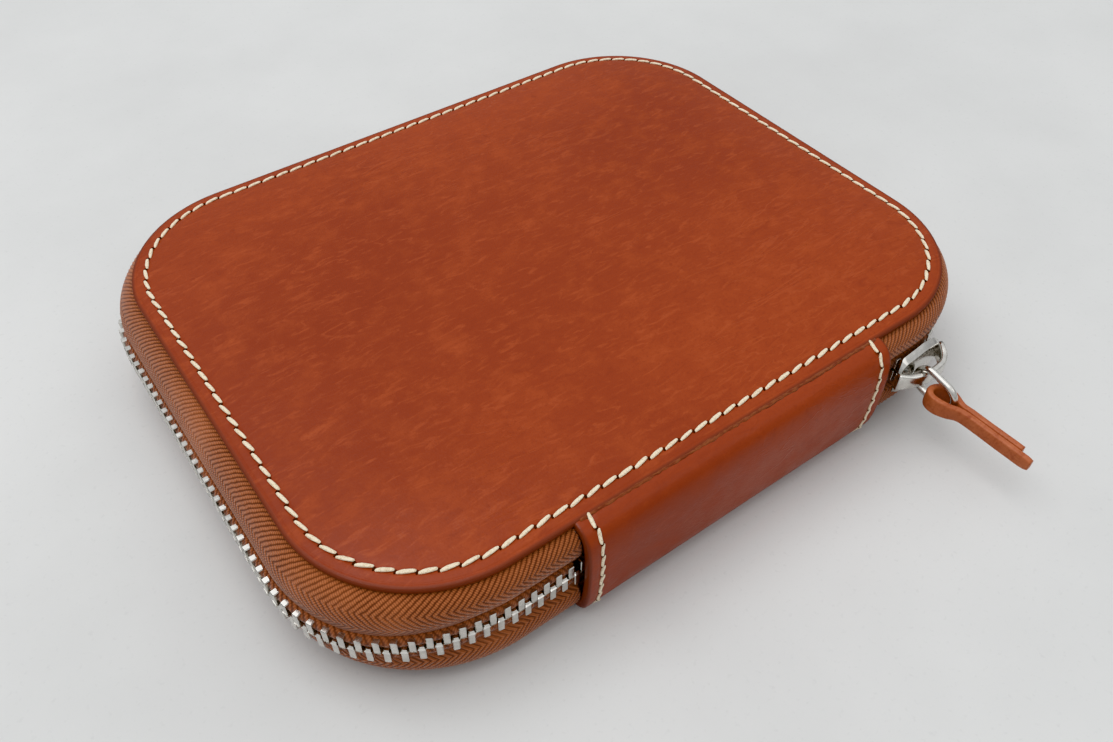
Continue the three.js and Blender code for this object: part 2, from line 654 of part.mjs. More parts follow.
const tab = addPiece(ringPivot, 'pull_tab', pullTab(), tabLeather());
tab.position.set(
  0,
  -RING_REACH * Math.cos(ringTilt) + TAB_LOOP_SETBACK,
  -(RING_REACH - TAB_LOOP_SETBACK) * Math.sin(ringTilt),
);
tab.rotation.x = THREE.MathUtils.degToRad(TAB_TILT);

export default wallet;
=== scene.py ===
import json
import math
import random

import bmesh
import bpy
from mathutils import Matrix, Vector, noise


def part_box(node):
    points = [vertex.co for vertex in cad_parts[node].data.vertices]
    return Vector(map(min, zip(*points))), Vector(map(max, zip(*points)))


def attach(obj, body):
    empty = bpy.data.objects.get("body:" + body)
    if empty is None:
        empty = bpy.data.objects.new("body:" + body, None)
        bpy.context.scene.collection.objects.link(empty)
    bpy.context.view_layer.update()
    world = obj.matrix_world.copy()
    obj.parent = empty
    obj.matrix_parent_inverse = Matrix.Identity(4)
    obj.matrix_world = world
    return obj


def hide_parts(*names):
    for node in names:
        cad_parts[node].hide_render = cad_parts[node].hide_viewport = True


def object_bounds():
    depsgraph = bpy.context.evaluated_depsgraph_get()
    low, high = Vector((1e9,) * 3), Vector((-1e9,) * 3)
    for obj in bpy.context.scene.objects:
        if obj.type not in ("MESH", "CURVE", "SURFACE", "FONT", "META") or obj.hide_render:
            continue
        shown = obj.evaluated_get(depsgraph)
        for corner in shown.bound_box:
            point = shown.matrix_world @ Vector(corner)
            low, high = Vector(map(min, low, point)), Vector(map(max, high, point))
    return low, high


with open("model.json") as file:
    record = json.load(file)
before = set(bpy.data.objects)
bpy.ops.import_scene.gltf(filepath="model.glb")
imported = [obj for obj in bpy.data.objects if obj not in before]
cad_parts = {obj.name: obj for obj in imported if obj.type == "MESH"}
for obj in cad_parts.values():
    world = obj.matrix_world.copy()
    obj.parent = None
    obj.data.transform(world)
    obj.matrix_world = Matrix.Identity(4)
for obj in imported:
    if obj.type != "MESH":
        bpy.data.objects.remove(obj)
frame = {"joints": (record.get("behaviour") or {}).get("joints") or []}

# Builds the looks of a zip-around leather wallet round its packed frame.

bl_info = {
    "name": "Zip-around wallet",
    "version": (1, 0, 0),
    "blender": (4, 5, 0),
    "location": "View3D > Sidebar > Wallet",
    "description": "Makes a saddle-stitched leather wallet with a metal zip, piece by piece",
    "category": "Add Mesh",
}

MM = 0.001
FULL_TURN = 2 * math.pi
CAD_BOX = [list(corner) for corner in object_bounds()]

# ---------------------------------------------------------------- sizes that the frame gives

COVER_LOW, COVER_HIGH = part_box("top_cover")
SPINE_LOW, SPINE_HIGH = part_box("spine_strip")
BASE_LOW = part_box("bottom_cover")[0]
TEETH_LOW, TEETH_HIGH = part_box("upper_zip_teeth")
LOWER_TEETH_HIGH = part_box("lower_zip_teeth")[1]
HALF_LENGTH = COVER_HIGH.x
HALF_WIDTH = COVER_HIGH.y
MIDDLE = (TEETH_LOW.z + LOWER_TEETH_HIGH.z) / 2
UP = Vector((0, 0, 1))
OUTWARDS = Vector((0, -1, 0))  # away from the wallet at the spine
JOINTS = {joint["name"]: joint for joint in frame["joints"]}

# ---------------------------------------------------------------- fixed sizes of the zip's cloth

RIM = COVER_LOW.z - 0.3 * MM  # where the tape comes out from under its panel
FLANGE = 6.2 * MM  # the tape's hidden part, under the panel
SHOWN = 10.6 * MM  # the part that is divided into ribs
TURN_LINE = 3.7 * MM  # where the ribs turn to lean the other way
BACK_TURN = 7.0 * MM  # where they turn back
YARN = 0.5 * MM
CORD_SIDES = 8


# ---------------------------------------------------------------- settings


def length(name, description, default, soft_max=0.05):
    """A length setting, kept in metres."""
    return bpy.props.FloatProperty(
        name=name,
        description=description,
        default=default,
        min=0.0,
        soft_max=soft_max,
        precision=5,
        unit="LENGTH",
    )


def angle(name, description, degrees):
    """An angle setting, kept in radians."""
    return bpy.props.FloatProperty(
        name=name, description=description, default=math.radians(degrees), unit="ROTATION"
    )


def shade(name, description, default):
    """A colour setting."""
    return bpy.props.FloatVectorProperty(
        name=name, description=description, default=default, size=3, min=0.0, max=1.0, subtype="COLOR"
    )


class PanelSizes(bpy.types.PropertyGroup):
    """Sizes of the two leather panels."""

    corner: length("Corner radius", "Radius of the panel's corners", 27 * MM)
    thickness: length("Leather", "Thickness of the panel leather", 1.3 * MM)
    crown: length("Crown", "How far the upper panel swells above its edge", 1.8 * MM)
    crown_reach: length("Crown reach", "From the edge to where the swell levels off", 25 * MM)
    sag: length("Belly", "How far the lower panel's middle lies below its edge", 0.7 * MM)
    sag_reach: length("Belly reach", "From the lower panel's edge to where it rests flat", 10 * MM)
    crease: length("Crease", "From the edge to the creased line", 0.95 * MM)


class StitchSizes(bpy.types.PropertyGroup):
    """Sizes of the saddle stitching."""

    inset: length("Inset", "From the panel's edge to the seam", 3 * MM)
    pitch: length("Pitch", "From one stitch to the next", 3.38 * MM)
    thread: length("Thread", "Width of the waxed thread", 0.74 * MM)
    hole: length("Hole", "Length of the pricked hole between two stitches", 0.95 * MM)
    slant: angle("Slant", "How far each stitch leans across the seam", 10)


class ZipSizes(bpy.types.PropertyGroup):
    """Sizes of the zip."""

    rib: length("Rib", "From one rib of the herringbone to the next", 1.1 * MM)
    rib_height: length("Rib height", "How far the ribs stand up", 0.17 * MM)
    tape: length("Tape", "Thickness of the tape", 0.5 * MM)
    pitch: length("Tooth pitch", "From one tooth to the next in a row", 2.54 * MM)
    tooth: length("Tooth width", "Width of a tooth along the chain", 1.22 * MM)
    chain: length("Chain offset", "Middle of the chain beyond the panel's edge", 0.9 * MM)
    bow: length("Bow", "How much further out the chain stands on the straight sides", 3.6 * MM)


class SpineSizes(bpy.types.PropertyGroup):
    """Sizes of the leather spine."""

    thickness: length("Leather", "Thickness of the spine leather", 1.8 * MM)
    inset: length("Seam inset", "From the spine's end to its seam", 2.8 * MM)
    pitch: length("Seam pitch", "From one stitch to the next on the spine's ends", 2.75 * MM)


class PullSizes(bpy.types.PropertyGroup):
    """Sizes of the slider, ring and leather tab."""

    turn: angle("Slider angle", "How far round the corner the slider stands", 5)
    plate: length("Plate", "Thickness of the slider's plates", 1.3 * MM)
    bail: length("Bail", "Thickness of the bail's band", 1.35 * MM)
    wire: length("Ring wire", "Thickness of the ring", 1.5 * MM)
    leather: length("Tab leather", "Thickness of one layer of the tab", 1.4 * MM)


class WalletColours(bpy.types.PropertyGroup):
    """Colours of leather, thread, cloth and metal."""

    leather: shade("Leather", "Middle tone of the outer leather", (0.315, 0.053, 0.0155))
    leather_light: shade("Leather light", "Worn, lighter tone of the outer leather", (0.385, 0.080, 0.027))
    leather_dark: shade("Leather dark", "Darker clouds in the outer leather", (0.225, 0.033, 0.010))
    burnish: shade("Burnished edge", "Edges rubbed smooth and dark", (0.170, 0.035, 0.015))
    flesh: shade("Raw leather", "Fibres where leather is cut", (0.26, 0.085, 0.038))
    lining: shade("Lining", "Lining leather", (0.50, 0.255, 0.125))
    thread: shade("Thread", "Waxed linen thread", (0.88, 0.78, 0.60))
    tape: shade("Tape", "Raised yarns of the tape", (0.44, 0.150, 0.062))
    tape_dark: shade("Tape shade", "Hollows between the yarns", (0.115, 0.032, 0.013))
    nickel: shade("Nickel", "Nickel plate", (0.72, 0.70, 0.66))
    tab: shade("Tab leather", "Leather of the pull", (0.54, 0.190, 0.092))
    board: shade("Board", "Fibre board inside the panels", (0.60, 0.54, 0.43))
    floor: shade("Floor", "Pale floor", (0.67, 0.67, 0.66))


GROUPS = {
    "wallet_panels": PanelSizes,
    "wallet_stitches": StitchSizes,
    "wallet_zip": ZipSizes,
    "wallet_spine": SpineSizes,
    "wallet_pull": PullSizes,
    "wallet_colours": WalletColours,
}


# ---------------------------------------------------------------- material recipes


class Recipe:
    """A material being put together from nodes, one named step at a time."""

    def __init__(self, name, roughness, metallic=0.0, **constants):
        self.material = bpy.data.materials.new(name)
        self.material.use_nodes = True
        self.tree = self.material.node_tree
        self.surface = self.tree.nodes["Principled BSDF"]
        self.surface.inputs["Roughness"].default_value = roughness
        self.surface.inputs["Metallic"].default_value = metallic
        for socket, value in constants.items():
            self.surface.inputs[socket.replace("_", " ")].default_value = value
        self.place = self.add("ShaderNodeTexCoord").outputs["Object"]

    def add(self, kind, settings=None, **inputs):
        """Adds a node; inputs are values or the sockets they come from."""
        node = self.tree.nodes.new(kind)
        for key, value in (settings or {}).items():
            setattr(node, key, value)
        for key, value in inputs.items():
            self.feed(node.inputs[key.replace("_", " ")], value)
        return node

    def feed(self, socket, value):
        if isinstance(value, bpy.types.NodeSocket):
            self.tree.links.new(value, socket)
        else:
            socket.default_value = value

    def sum(self, operation, *values, clamp=False):
        node = self.add("ShaderNodeMath", {"operation": operation, "use_clamp": clamp})
        for socket, value in zip(node.inputs, values):
            self.feed(socket, value)
        return node.outputs[0]

    def cloud(self, scale, detail=3.0, roughness=0.5, place=None, distortion=0.0):
        """Soft noise with a middle of about a half; scale is in features to the metre."""
        return self.add(
            "ShaderNodeTexNoise",
            Vector=place or self.place,
            Scale=scale,
            Detail=detail,
            Roughness=roughness,
            Distortion=distortion,
        ).outputs["Fac"]

    def turned(self, scale, turn=0.0):
        """The piece's own place, turned about Z and stretched."""
        return self.add(
            "ShaderNodeMapping", Vector=self.place, Rotation=(0, 0, turn), Scale=scale
        ).outputs["Vector"]

    def span(self, value, low, high, to_low=0.0, to_high=1.0):
        node = self.add("ShaderNodeMapRange", {"interpolation_type": "SMOOTHSTEP"}, Value=value)
        for key, number in zip(("From Min", "From Max", "To Min", "To Max"), (low, high, to_low, to_high)):
            node.inputs[key].default_value = number
        return node.outputs["Result"]

    def mix(self, share, a, b, blend="MIX"):
        """Mixes two colours, each an RGB setting or a socket."""
        node = self.add("ShaderNodeMix", {"data_type": "RGBA", "blend_type": blend})
        self.feed(node.inputs["Factor"], share)
        for socket, value in ((node.inputs[6], a), (node.inputs[7], b)):
            self.feed(socket, value if isinstance(value, bpy.types.NodeSocket) else (*value, 1.0))
        return node.outputs[2]

    def blend(self, share, a, b):
        """Mixes two numbers."""
        return self.add("ShaderNodeMix", {"data_type": "FLOAT"}, Factor=share, A=a, B=b).outputs[0]

    def attribute(self, name):
        return self.add("ShaderNodeAttribute", {"attribute_name": name}).outputs["Fac"]

    def bump(self, height, depth, strength=1.0, under=None):
        """Raises the surface by depth metres where height is one."""
        node = self.add("ShaderNodeBump", Height=height, Strength=strength, Distance=depth)
        if under is not None:
            self.feed(node.inputs["Normal"], under)
        return node.outputs["Normal"]

    def finish(self, colour, roughness=None, normal=None):
        self.feed(self.surface.inputs["Base Color"], colour)
        if roughness is not None:
            self.feed(self.surface.inputs["Roughness"], roughness)
        if normal is not None:
            self.feed(self.surface.inputs["Normal"], normal)
        return self.material


def outer_leather(name, light, middle, dark, burnish, gloss=0.46, edge=0.9 * MM, coat=0.04):
    """Vegetable-tanned leather: clouds of tone, fine pores, long wrinkles and burnished edges."""
    recipe = Recipe(name, gloss, Specular_IOR_Level=0.34, Coat_Weight=coat, Coat_Roughness=0.27)
    cloud = recipe.cloud(13, detail=2.0)
    mottle = recipe.cloud(170, detail=6.0, roughness=0.62)
    fine = recipe.cloud(1500, detail=3.0, roughness=0.65)
    fibres = recipe.turned((190, 620, 300), math.radians(22))
    veins = recipe.cloud(1.0, detail=5.0, roughness=0.62, place=fibres, distortion=1.2)
    pores = recipe.add("ShaderNodeTexVoronoi", {"feature": "F1"}, Vector=recipe.place, Scale=2100.0)
    colour = recipe.mix(recipe.span(cloud, 0.25, 0.75, 0.12, 0.95), dark, middle)
    colour = recipe.mix(recipe.span(mottle, 0.42, 0.80, 0.0, 0.5), colour, light)
    colour = recipe.mix(recipe.span(veins, 0.50, 0.72, 0.0, 0.6), colour, light)
    colour = recipe.mix(recipe.span(veins, 0.46, 0.26, 0.0, 0.5), colour, dark)
    wrinkles = recipe.turned((26, 150, 80), math.radians(14))
    streak = recipe.cloud(1.0, detail=4.0, roughness=0.55, place=wrinkles, distortion=0.6)
    crease = recipe.sum("ABSOLUTE", recipe.sum("SUBTRACT", streak, 0.5))
    where = recipe.span(recipe.cloud(20, detail=1.0), 0.48, 0.60)
    line = recipe.sum("MULTIPLY", recipe.span(crease, 0.014, 0.0), where)
    colour = recipe.mix(recipe.sum("MULTIPLY", line, 0.5), colour, light)
    colour = recipe.mix(recipe.span(fine, 0.50, 0.30, 0.0, 0.35), colour, dark)
    speck = recipe.span(recipe.cloud(420, detail=2.0), 0.70, 0.78, 0.0, 0.5)
    colour = recipe.mix(speck, colour, dark)
    rubbed = recipe.span(recipe.attribute("from_edge"), edge, edge * 0.2)
    colour = recipe.mix(rubbed, colour, burnish)
    rough = recipe.span(mottle, 0.3, 0.75, gloss - 0.05, gloss + 0.10)
    grain = recipe.bump(pores.outputs["Distance"], 0.035 * MM, 0.5)
    grain = recipe.bump(fine, 0.06 * MM, 0.55, grain)
    grain = recipe.bump(veins, 0.07 * MM, 0.5, grain)
    grain = recipe.bump(line, 0.06 * MM, 0.6, grain)
    grain = recipe.bump(recipe.cloud(95, detail=3.0), 0.3 * MM, 0.3, grain)
    return recipe.finish(colour, rough, grain)


def lining_leather(name, colour, dark):
    """Matt lining leather with a short nap."""
    recipe = Recipe(name, 0.66, Specular_IOR_Level=0.35, Sheen_Weight=0.12)
    mottle = recipe.cloud(90, detail=6.0, roughness=0.6)
    nap = recipe.cloud(2600, detail=3.0, roughness=0.7)
    tone = recipe.mix(recipe.span(mottle, 0.3, 0.85, 0.0, 0.38), colour, dark)
    tone = recipe.mix(recipe.span(nap, 0.5, 0.3, 0.0, 0.35), tone, dark)
    rubbed = recipe.span(recipe.attribute("from_edge"), 1.4 * MM, 0.3 * MM, 0.0, 0.75)
    tone = recipe.mix(rubbed, tone, dark)
    rough = recipe.span(nap, 0.3, 0.7, 0.58, 0.74)
    return recipe.finish(tone, rough, recipe.bump(nap, 0.05 * MM, 0.5, recipe.bump(mottle, 0.2 * MM, 0.3)))


def raw_leather(name, colour, dark):
    """Cut leather, where short fibres stand up."""
    recipe = Recipe(name, 0.8, Specular_IOR_Level=0.25, Sheen_Weight=0.25)
    fibre = recipe.cloud(1.0, detail=5.0, roughness=0.7, place=recipe.turned((900, 2600, 2600)))
    tone = recipe.mix(recipe.span(fibre, 0.36, 0.62), dark, colour)
    return recipe.finish(tone, recipe.span(fibre, 0.3, 0.7, 0.7, 0.9), recipe.bump(fibre, 0.15 * MM, 0.9))


def waxed_thread(name, colour):
    """Waxed linen thread: painted shade darkens it between its fibres, and a cloud of dirt darkens it in
    blotches.
    """
    recipe = Recipe(name, 0.55, Specular_IOR_Level=0.4, Sheen_Weight=0.2)
    fibre = recipe.cloud(4200, detail=2.0, roughness=0.6)
    dirt = recipe.cloud(260, detail=3.0)
    # A darker copy of the thread colour, used as painted shade between the fibres and also as the colour of
    # the dirt.
    shade_and_dirt = [channel * share for channel, share in zip(colour, (0.62, 0.52, 0.40))]
    # Painted shade: darker where the fibre noise is low, between the fibres.
    tone = recipe.mix(recipe.span(fibre, 0.56, 0.36, 0.0, 0.7), colour, shade_and_dirt)
    tone = recipe.mix(recipe.span(dirt, 0.6, 0.8, 0.0, 0.35), tone, shade_and_dirt)
    return recipe.finish(tone, recipe.span(fibre, 0.3, 0.7, 0.48, 0.68), recipe.bump(fibre, 0.07 * MM, 0.7))


def painted_hole_shade(name, colour):
    """Painted shade for a pricked hole: a dark material standing in for the shadow inside it."""
    recipe = Recipe(name, 0.9, Specular_IOR_Level=0.15)
    # A cloud varies the painted shade in the hole from deep to shallow.
    shade_cloud = recipe.cloud(1800, detail=2.0)
    deep = [channel * 0.22 for channel in colour]
    shallow = [channel * 0.5 for channel in colour]
    tone = recipe.mix(recipe.span(shade_cloud, 0.35, 0.7), deep, shallow)
    return recipe.finish(tone, recipe.span(shade_cloud, 0, 1, 0.8, 1.0))


def twill_tape(name, light, dark, rib, turn_line, back_turn):
    """Herringbone tape. The piece's own map gives the way along the tape and across it, in metres."""
    recipe = Recipe(name, 0.78, Specular_IOR_Level=0.3, Sheen_Weight=0.3, Sheen_Roughness=0.5)
    cloth = recipe.add("ShaderNodeUVMap", {"uv_map": "cloth"}).outputs["UV"]
    parts = recipe.add("ShaderNodeSeparateXYZ", Vector=cloth).outputs
    along, across = parts["X"], parts["Y"]
    wander = recipe.sum("MULTIPLY_ADD", recipe.cloud(900, detail=2.0), YARN, -YARN / 2)
    loose = recipe.sum("ADD", along, wander)
    lean = recipe.sum("ABSOLUTE", recipe.sum("SUBTRACT", across, turn_line))
    lean = recipe.sum("MINIMUM", lean, recipe.sum("SUBTRACT", 2 * back_turn - turn_line, across))
    twist = recipe.sum("MULTIPLY", recipe.sum("ADD", loose, lean), FULL_TURN / rib)
    ribs = recipe.sum("MULTIPLY_ADD", recipe.sum("COSINE", twist), 0.5, 0.5)
    rising = recipe.sum("MULTIPLY", recipe.sum("ADD", along, across), FULL_TURN / YARN)
    falling = recipe.sum("MULTIPLY", recipe.sum("SUBTRACT", along, across), FULL_TURN / YARN)
    side = recipe.sum("GREATER_THAN", across, turn_line)
    chosen = recipe.blend(side, rising, falling)
    beads = recipe.sum("MULTIPLY_ADD", recipe.sum("COSINE", chosen), 0.5, 0.5)
    plain = recipe.span(across, 8.2 * MM, 9.0 * MM)
    crossing = recipe.sum("MULTIPLY", recipe.sum("COSINE", rising), recipe.sum("COSINE", falling))
    knit = recipe.sum("MULTIPLY_ADD", crossing, 0.5, 0.5)
    fuzz = recipe.cloud(3800, detail=2.0, roughness=0.7)
    wear = recipe.cloud(70, detail=4.0)
    beaded = recipe.sum("MULTIPLY_ADD", beads, 0.62, 0.38)
    braid = recipe.sum("MULTIPLY", recipe.sum("POWER", ribs, 0.6), beaded)
    weave = recipe.blend(plain, braid, knit)
    # Painted shade: the dark tone fills the hollows between the ribs and yarns.
    tone = recipe.mix(recipe.span(weave, 0.02, 0.70), dark, light)
    tone = recipe.mix(recipe.span(fuzz, 0.5, 0.3, 0.0, 0.35), tone, dark)
    tone = recipe.mix(recipe.span(wear, 0.45, 0.75, 0.0, 0.3), tone, [channel * 1.25 for channel in light])
    # Painted shade: darker towards the teeth, where the tape curves in under its bulge.
    shade_band = recipe.span(recipe.attribute("near_teeth"), 0.6, 1.0, 0.0, 0.4)
    tone = recipe.mix(shade_band, tone, dark)
    relief = recipe.bump(weave, 0.14 * MM, 0.8)
    relief = recipe.bump(fuzz, 0.06 * MM, 0.6, relief)
    return recipe.finish(tone, recipe.span(weave, 0.0, 1.0, 0.9, 0.66), relief)


def plated_nickel(name, colour):
    """Polished nickel plate, faintly clouded by handling."""
    recipe = Recipe(name, 0.2, metallic=1.0)
    cloud = recipe.cloud(600, detail=4.0, roughness=0.6)
    rubbing = recipe.turned((500, 5200, 900), math.radians(25))
    scuff = recipe.cloud(1.0, detail=3.0, roughness=0.7, place=rubbing)
    dull = [channel * 0.74 for channel in colour]
    tone = recipe.mix(recipe.span(cloud, 0.62, 0.34, 0.0, 0.6), colour, dull)
    rough = recipe.span(cloud, 0.3, 0.72, 0.13, 0.30)
    waves = recipe.bump(cloud, 0.012 * MM, 0.25)
    return recipe.finish(tone, rough, recipe.bump(scuff, 0.006 * MM, 0.3, waves))


def fibre_board(name, colour):
    """Bonded fibre board that stiffens the panels."""
    recipe = Recipe(name, 0.9, Specular_IOR_Level=0.2)
    strands = recipe.turned((400, 1900, 800), math.radians(35))
    fibre = recipe.cloud(1.0, detail=6.0, roughness=0.7, place=strands)
    tone = recipe.mix(recipe.span(fibre, 0.35, 0.65), [channel * 0.6 for channel in colour], colour)
    return recipe.finish(tone, recipe.span(fibre, 0.3, 0.7, 0.85, 0.95), recipe.bump(fibre, 0.15 * MM, 0.6))


def pale_floor(name, colour):
    """A smooth pale floor with faint clouds."""
    recipe = Recipe(name, 0.75, Specular_IOR_Level=0.25)
    cloud = recipe.cloud(7, detail=6.0, roughness=0.6)
    grit = recipe.cloud(900, detail=3.0)
    tone = recipe.mix(recipe.span(cloud, 0.3, 0.7), [channel * 0.90 for channel in colour], colour)
    tone = recipe.mix(recipe.span(grit, 0.42, 0.25, 0.0, 0.2), tone, [channel * 0.7 for channel in colour])
    return recipe.finish(tone, recipe.span(grit, 0.3, 0.7, 0.7, 0.82), recipe.bump(grit, 0.08 * MM, 0.25))


made_materials = {}


def material(kind):
    """Each of the wallet's materials, made the first time it is asked for."""
    if kind in made_materials:
        return made_materials[kind]
    tint = bpy.context.scene.wallet_colours
    rib = bpy.context.scene.wallet_zip.rib
    tones = {key: tuple(getattr(tint, key)) for key in WalletColours.__annotations__}
    middle, dark, burnish = tones["leather"], tones["leather_dark"], tones["burnish"]
    recipes = {
        "panel leather": lambda: outer_leather(kind, tones["leather_light"], middle, dark, burnish),
        "spine leather": lambda: outer_leather(
            kind, middle, middle, dark, burnish, gloss=0.34, edge=0.8 * MM, coat=0.10
        ),
        "tab leather": lambda: outer_leather(
            kind, tones["tab"], tones["tab"], dark, burnish, gloss=0.42, edge=0.0001 * MM
        ),
        "lining leather": lambda: lining_leather(kind, tones["lining"], tones["flesh"]),
        "raw leather": lambda: raw_leather(kind, tones["flesh"], tones["burnish"]),
        "waxed thread": lambda: waxed_thread(kind, tones["thread"]),
        "pricked hole": lambda: painted_hole_shade(kind, tones["burnish"]),
        "twill tape": lambda: twill_tape(
            kind, tones["tape"], tones["tape_dark"], rib, TURN_LINE, BACK_TURN
        ),
        "nickel plate": lambda: plated_nickel(kind, tones["nickel"]),
        "fibre board": lambda: fibre_board(kind, tones["board"]),
        "pale floor": lambda: pale_floor(kind, tones["floor"]),
    }
    made_materials[kind] = recipes[kind]()
    return made_materials[kind]


# ---------------------------------------------------------------- working a mesh


def surface(rows, columns, place, seam=False, cap=False):
    """A sheet of cells whose points go where place(row, column) says.

    seam joins the last column to the first, and cap fills the two open ends.
    Each face corner keeps its row and column as its map.
    """
    bm = bmesh.new()
    bmesh.ops.create_grid(bm, x_segments=rows, y_segments=columns, size=0.5)
    mapped = bm.loops.layers.uv.new("cloth")
    steps = {}
    for vert in bm.verts:
        steps[vert] = (round((vert.co.x + 0.5) * rows), round((vert.co.y + 0.5) * columns))
    for face in bm.faces:
        for loop in face.loops:
            loop[mapped].uv = steps[loop.vert]
    for vert, step in steps.items():
        vert.co = place(*step)
    if seam:
        bmesh.ops.remove_doubles(bm, verts=bm.verts[:], dist=1e-7)
    if cap:
        rims = [edge for edge in bm.edges if edge.is_boundary]
        bmesh.ops.holes_fill(bm, edges=rims, sides=0)
    return bm


def outward(bm):
    """Turns every face to point outwards."""
    bmesh.ops.recalc_face_normals(bm, faces=bm.faces[:])
    return bm


def face_towards(bm, way):
    """Turns an open sheet over if most of it faces away from way."""
    if sum(face.normal.dot(way) for face in bm.faces) < 0:
        bmesh.ops.reverse_faces(bm, faces=bm.faces[:])


def lift(bm, height):
    """Moves a worked mesh up."""
    bmesh.ops.translate(bm, vec=(0, 0, height), verts=bm.verts[:])


def map_cloth(bm, where):
    """Changes each face corner's row and column into its place on the cloth, in metres."""
    mapped = bm.loops.layers.uv["cloth"]
    for face in bm.faces:
        for loop in face.loops:
            loop[mapped].uv = where(*loop[mapped].uv)


def as_mesh(bm, name):
    """Turns a worked mesh into a finished one."""
    mesh = bpy.data.meshes.new(name)
    bm.to_mesh(mesh)
    bm.free()
    return mesh


def make_piece(name, bm, body, nodes, finish, smooth=True):
    """Turns a worked mesh into a named piece that rides on a body."""
    for face in bm.faces:
        face.smooth = smooth
    piece = bpy.data.objects.new(name, as_mesh(bm, name))
    bpy.context.scene.collection.objects.link(piece)
    piece.data.materials.append(material(finish))
    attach(piece, body)
    if nodes:
        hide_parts(*nodes)
    return piece


def note(piece, name, value_of):
    """Keeps a number at every point of a piece, for its material."""
    layer = piece.data.attributes.new(name, "FLOAT", "POINT")
    layer.data.foreach_set("value", [value_of(vert.co) for vert in piece.data.vertices])


def round_edges(piece, width, segments=3, degrees=35):
    """Rounds a piece's sharp edges."""
    bevel = piece.modifiers.new("rounded edges", "BEVEL")
    bevel.width = width
    bevel.segments = segments
    bevel.limit_method = "ANGLE"
    bevel.angle_limit = math.radians(degrees)
    bevel.harden_normals = False


def thicken(piece, thickness, offset=-1.0):
    """Gives a sheet its thickness; with offset -1 it grows inwards."""
    wall = piece.modifiers.new("thickness", "SOLIDIFY")
    wall.thickness = thickness
    wall.offset = offset
    wall.use_even_offset = True


def add_shape(bm, shape, matrix):
    """Adds a copy of a small finished mesh, moved by matrix."""
    known = len(bm.verts)
    bm.from_mesh(shape)
    bm.verts.ensure_lookup_table()
    bmesh.ops.transform(bm, matrix=matrix, verts=bm.verts[known:])


def upright(place, along, up):
    """The turn and place of a small shape whose X runs along and whose Z points up."""
    x = along.normalized()
    y = up.cross(x).normalized()
    turn = Matrix((x, y, x.cross(y))).transposed()
    return Matrix.Translation(place) @ turn.to_4x4()


# ---------------------------------------------------------------- the panel's outline


class Outline:
    """A rectangle with round corners. Distances run clockwise from the middle of the front."""

    def __init__(self, half_x, half_y, radius, centre=(0.0, 0.0)):
        self.half_x = half_x
        self.half_y = half_y
        self.radius = radius
        self.centre = centre

    def shrunk(self, inset):
        radius = max(self.radius - inset, 0.0)
        return Outline(self.half_x - inset, self.half_y - inset, radius, self.centre)

    def stretches(self):
        """Each straight or corner: its length and how to find a place on it."""
        x, y, r = self.half_x, self.half_y, self.radius
        cx, cy = x - r, y - r
        quarter = r * math.pi / 2
        made = [(cx, (0, -y), (-1, 0), None)]
        corners = (
            ((-cx, -cy), 270, 2 * cy),
            ((-cx, cy), 180, 2 * cx),
            ((cx, cy), 90, 2 * cy),
            ((cx, -cy), 0, cx),
        )
        for (ox, oy), start, straight in corners:
            made.append((quarter, (ox, oy), None, math.radians(start)))
            end = math.radians(start - 90)
            normal = (math.cos(end), math.sin(end))
            made.append((straight, (ox + r * normal[0], oy + r * normal[1]), (normal[1], -normal[0]), None))
        return made

    def total(self):
        return sum(stretch[0] for stretch in self.stretches())

    def at(self, distance):
        """The place at a distance along the outline, and the outward direction there."""
        left = distance % self.total()
        for size, origin, way, start in self.stretches():
            if left <= size:
                break
            left -= size
        if way:
            point = (origin[0] + way[0] * left, origin[1] + way[1] * left)
            normal = (-way[1], way[0])
        else:
            turn = start - left / self.radius
            normal = (math.cos(turn), math.sin(turn))
            point = (origin[0] + self.radius * normal[0], origin[1] + self.radius * normal[1])
        middle = Vector((self.centre[0], self.centre[1], 0))
        return Vector((point[0], point[1], 0)) + middle, Vector((normal[0], normal[1], 0))

    def side_point(self, side, share):
        """The place at a share of one side; each side runs from corner middle to corner middle."""
        along_half, out = self.half_x, self.half_y
        if side in ("left", "right"):
            along_half, out = out, along_half
        straight = along_half - self.radius
        reach = (share - 0.5) * 2 * (straight + self.radius * math.pi / 4)
        if abs(reach) <= straight or self.radius == 0:
            along = reach
        else:
            turn = (abs(reach) - straight) / self.radius
            along = math.copysign(straight + self.radius * math.sin(turn), reach)
            out -= self.radius * (1 - math.cos(turn))
        placed = {
            "front": (along, -out),
            "back": (along, out),
            "left": (-out, along),
            "right": (out, along),
        }
        x, y = placed[side]
        return Vector((x + self.centre[0], y + self.centre[1], 0))

    def inset_of(self, point):
        """How far a place lies inside the outline."""
        dx = abs(point.x - self.centre[0]) - (self.half_x - self.radius)
        dy = abs(point.y - self.centre[1]) - (self.half_y - self.radius)
        outside = math.hypot(max(dx, 0.0), max(dy, 0.0))
        return self.radius - outside - min(max(dx, dy), 0.0)


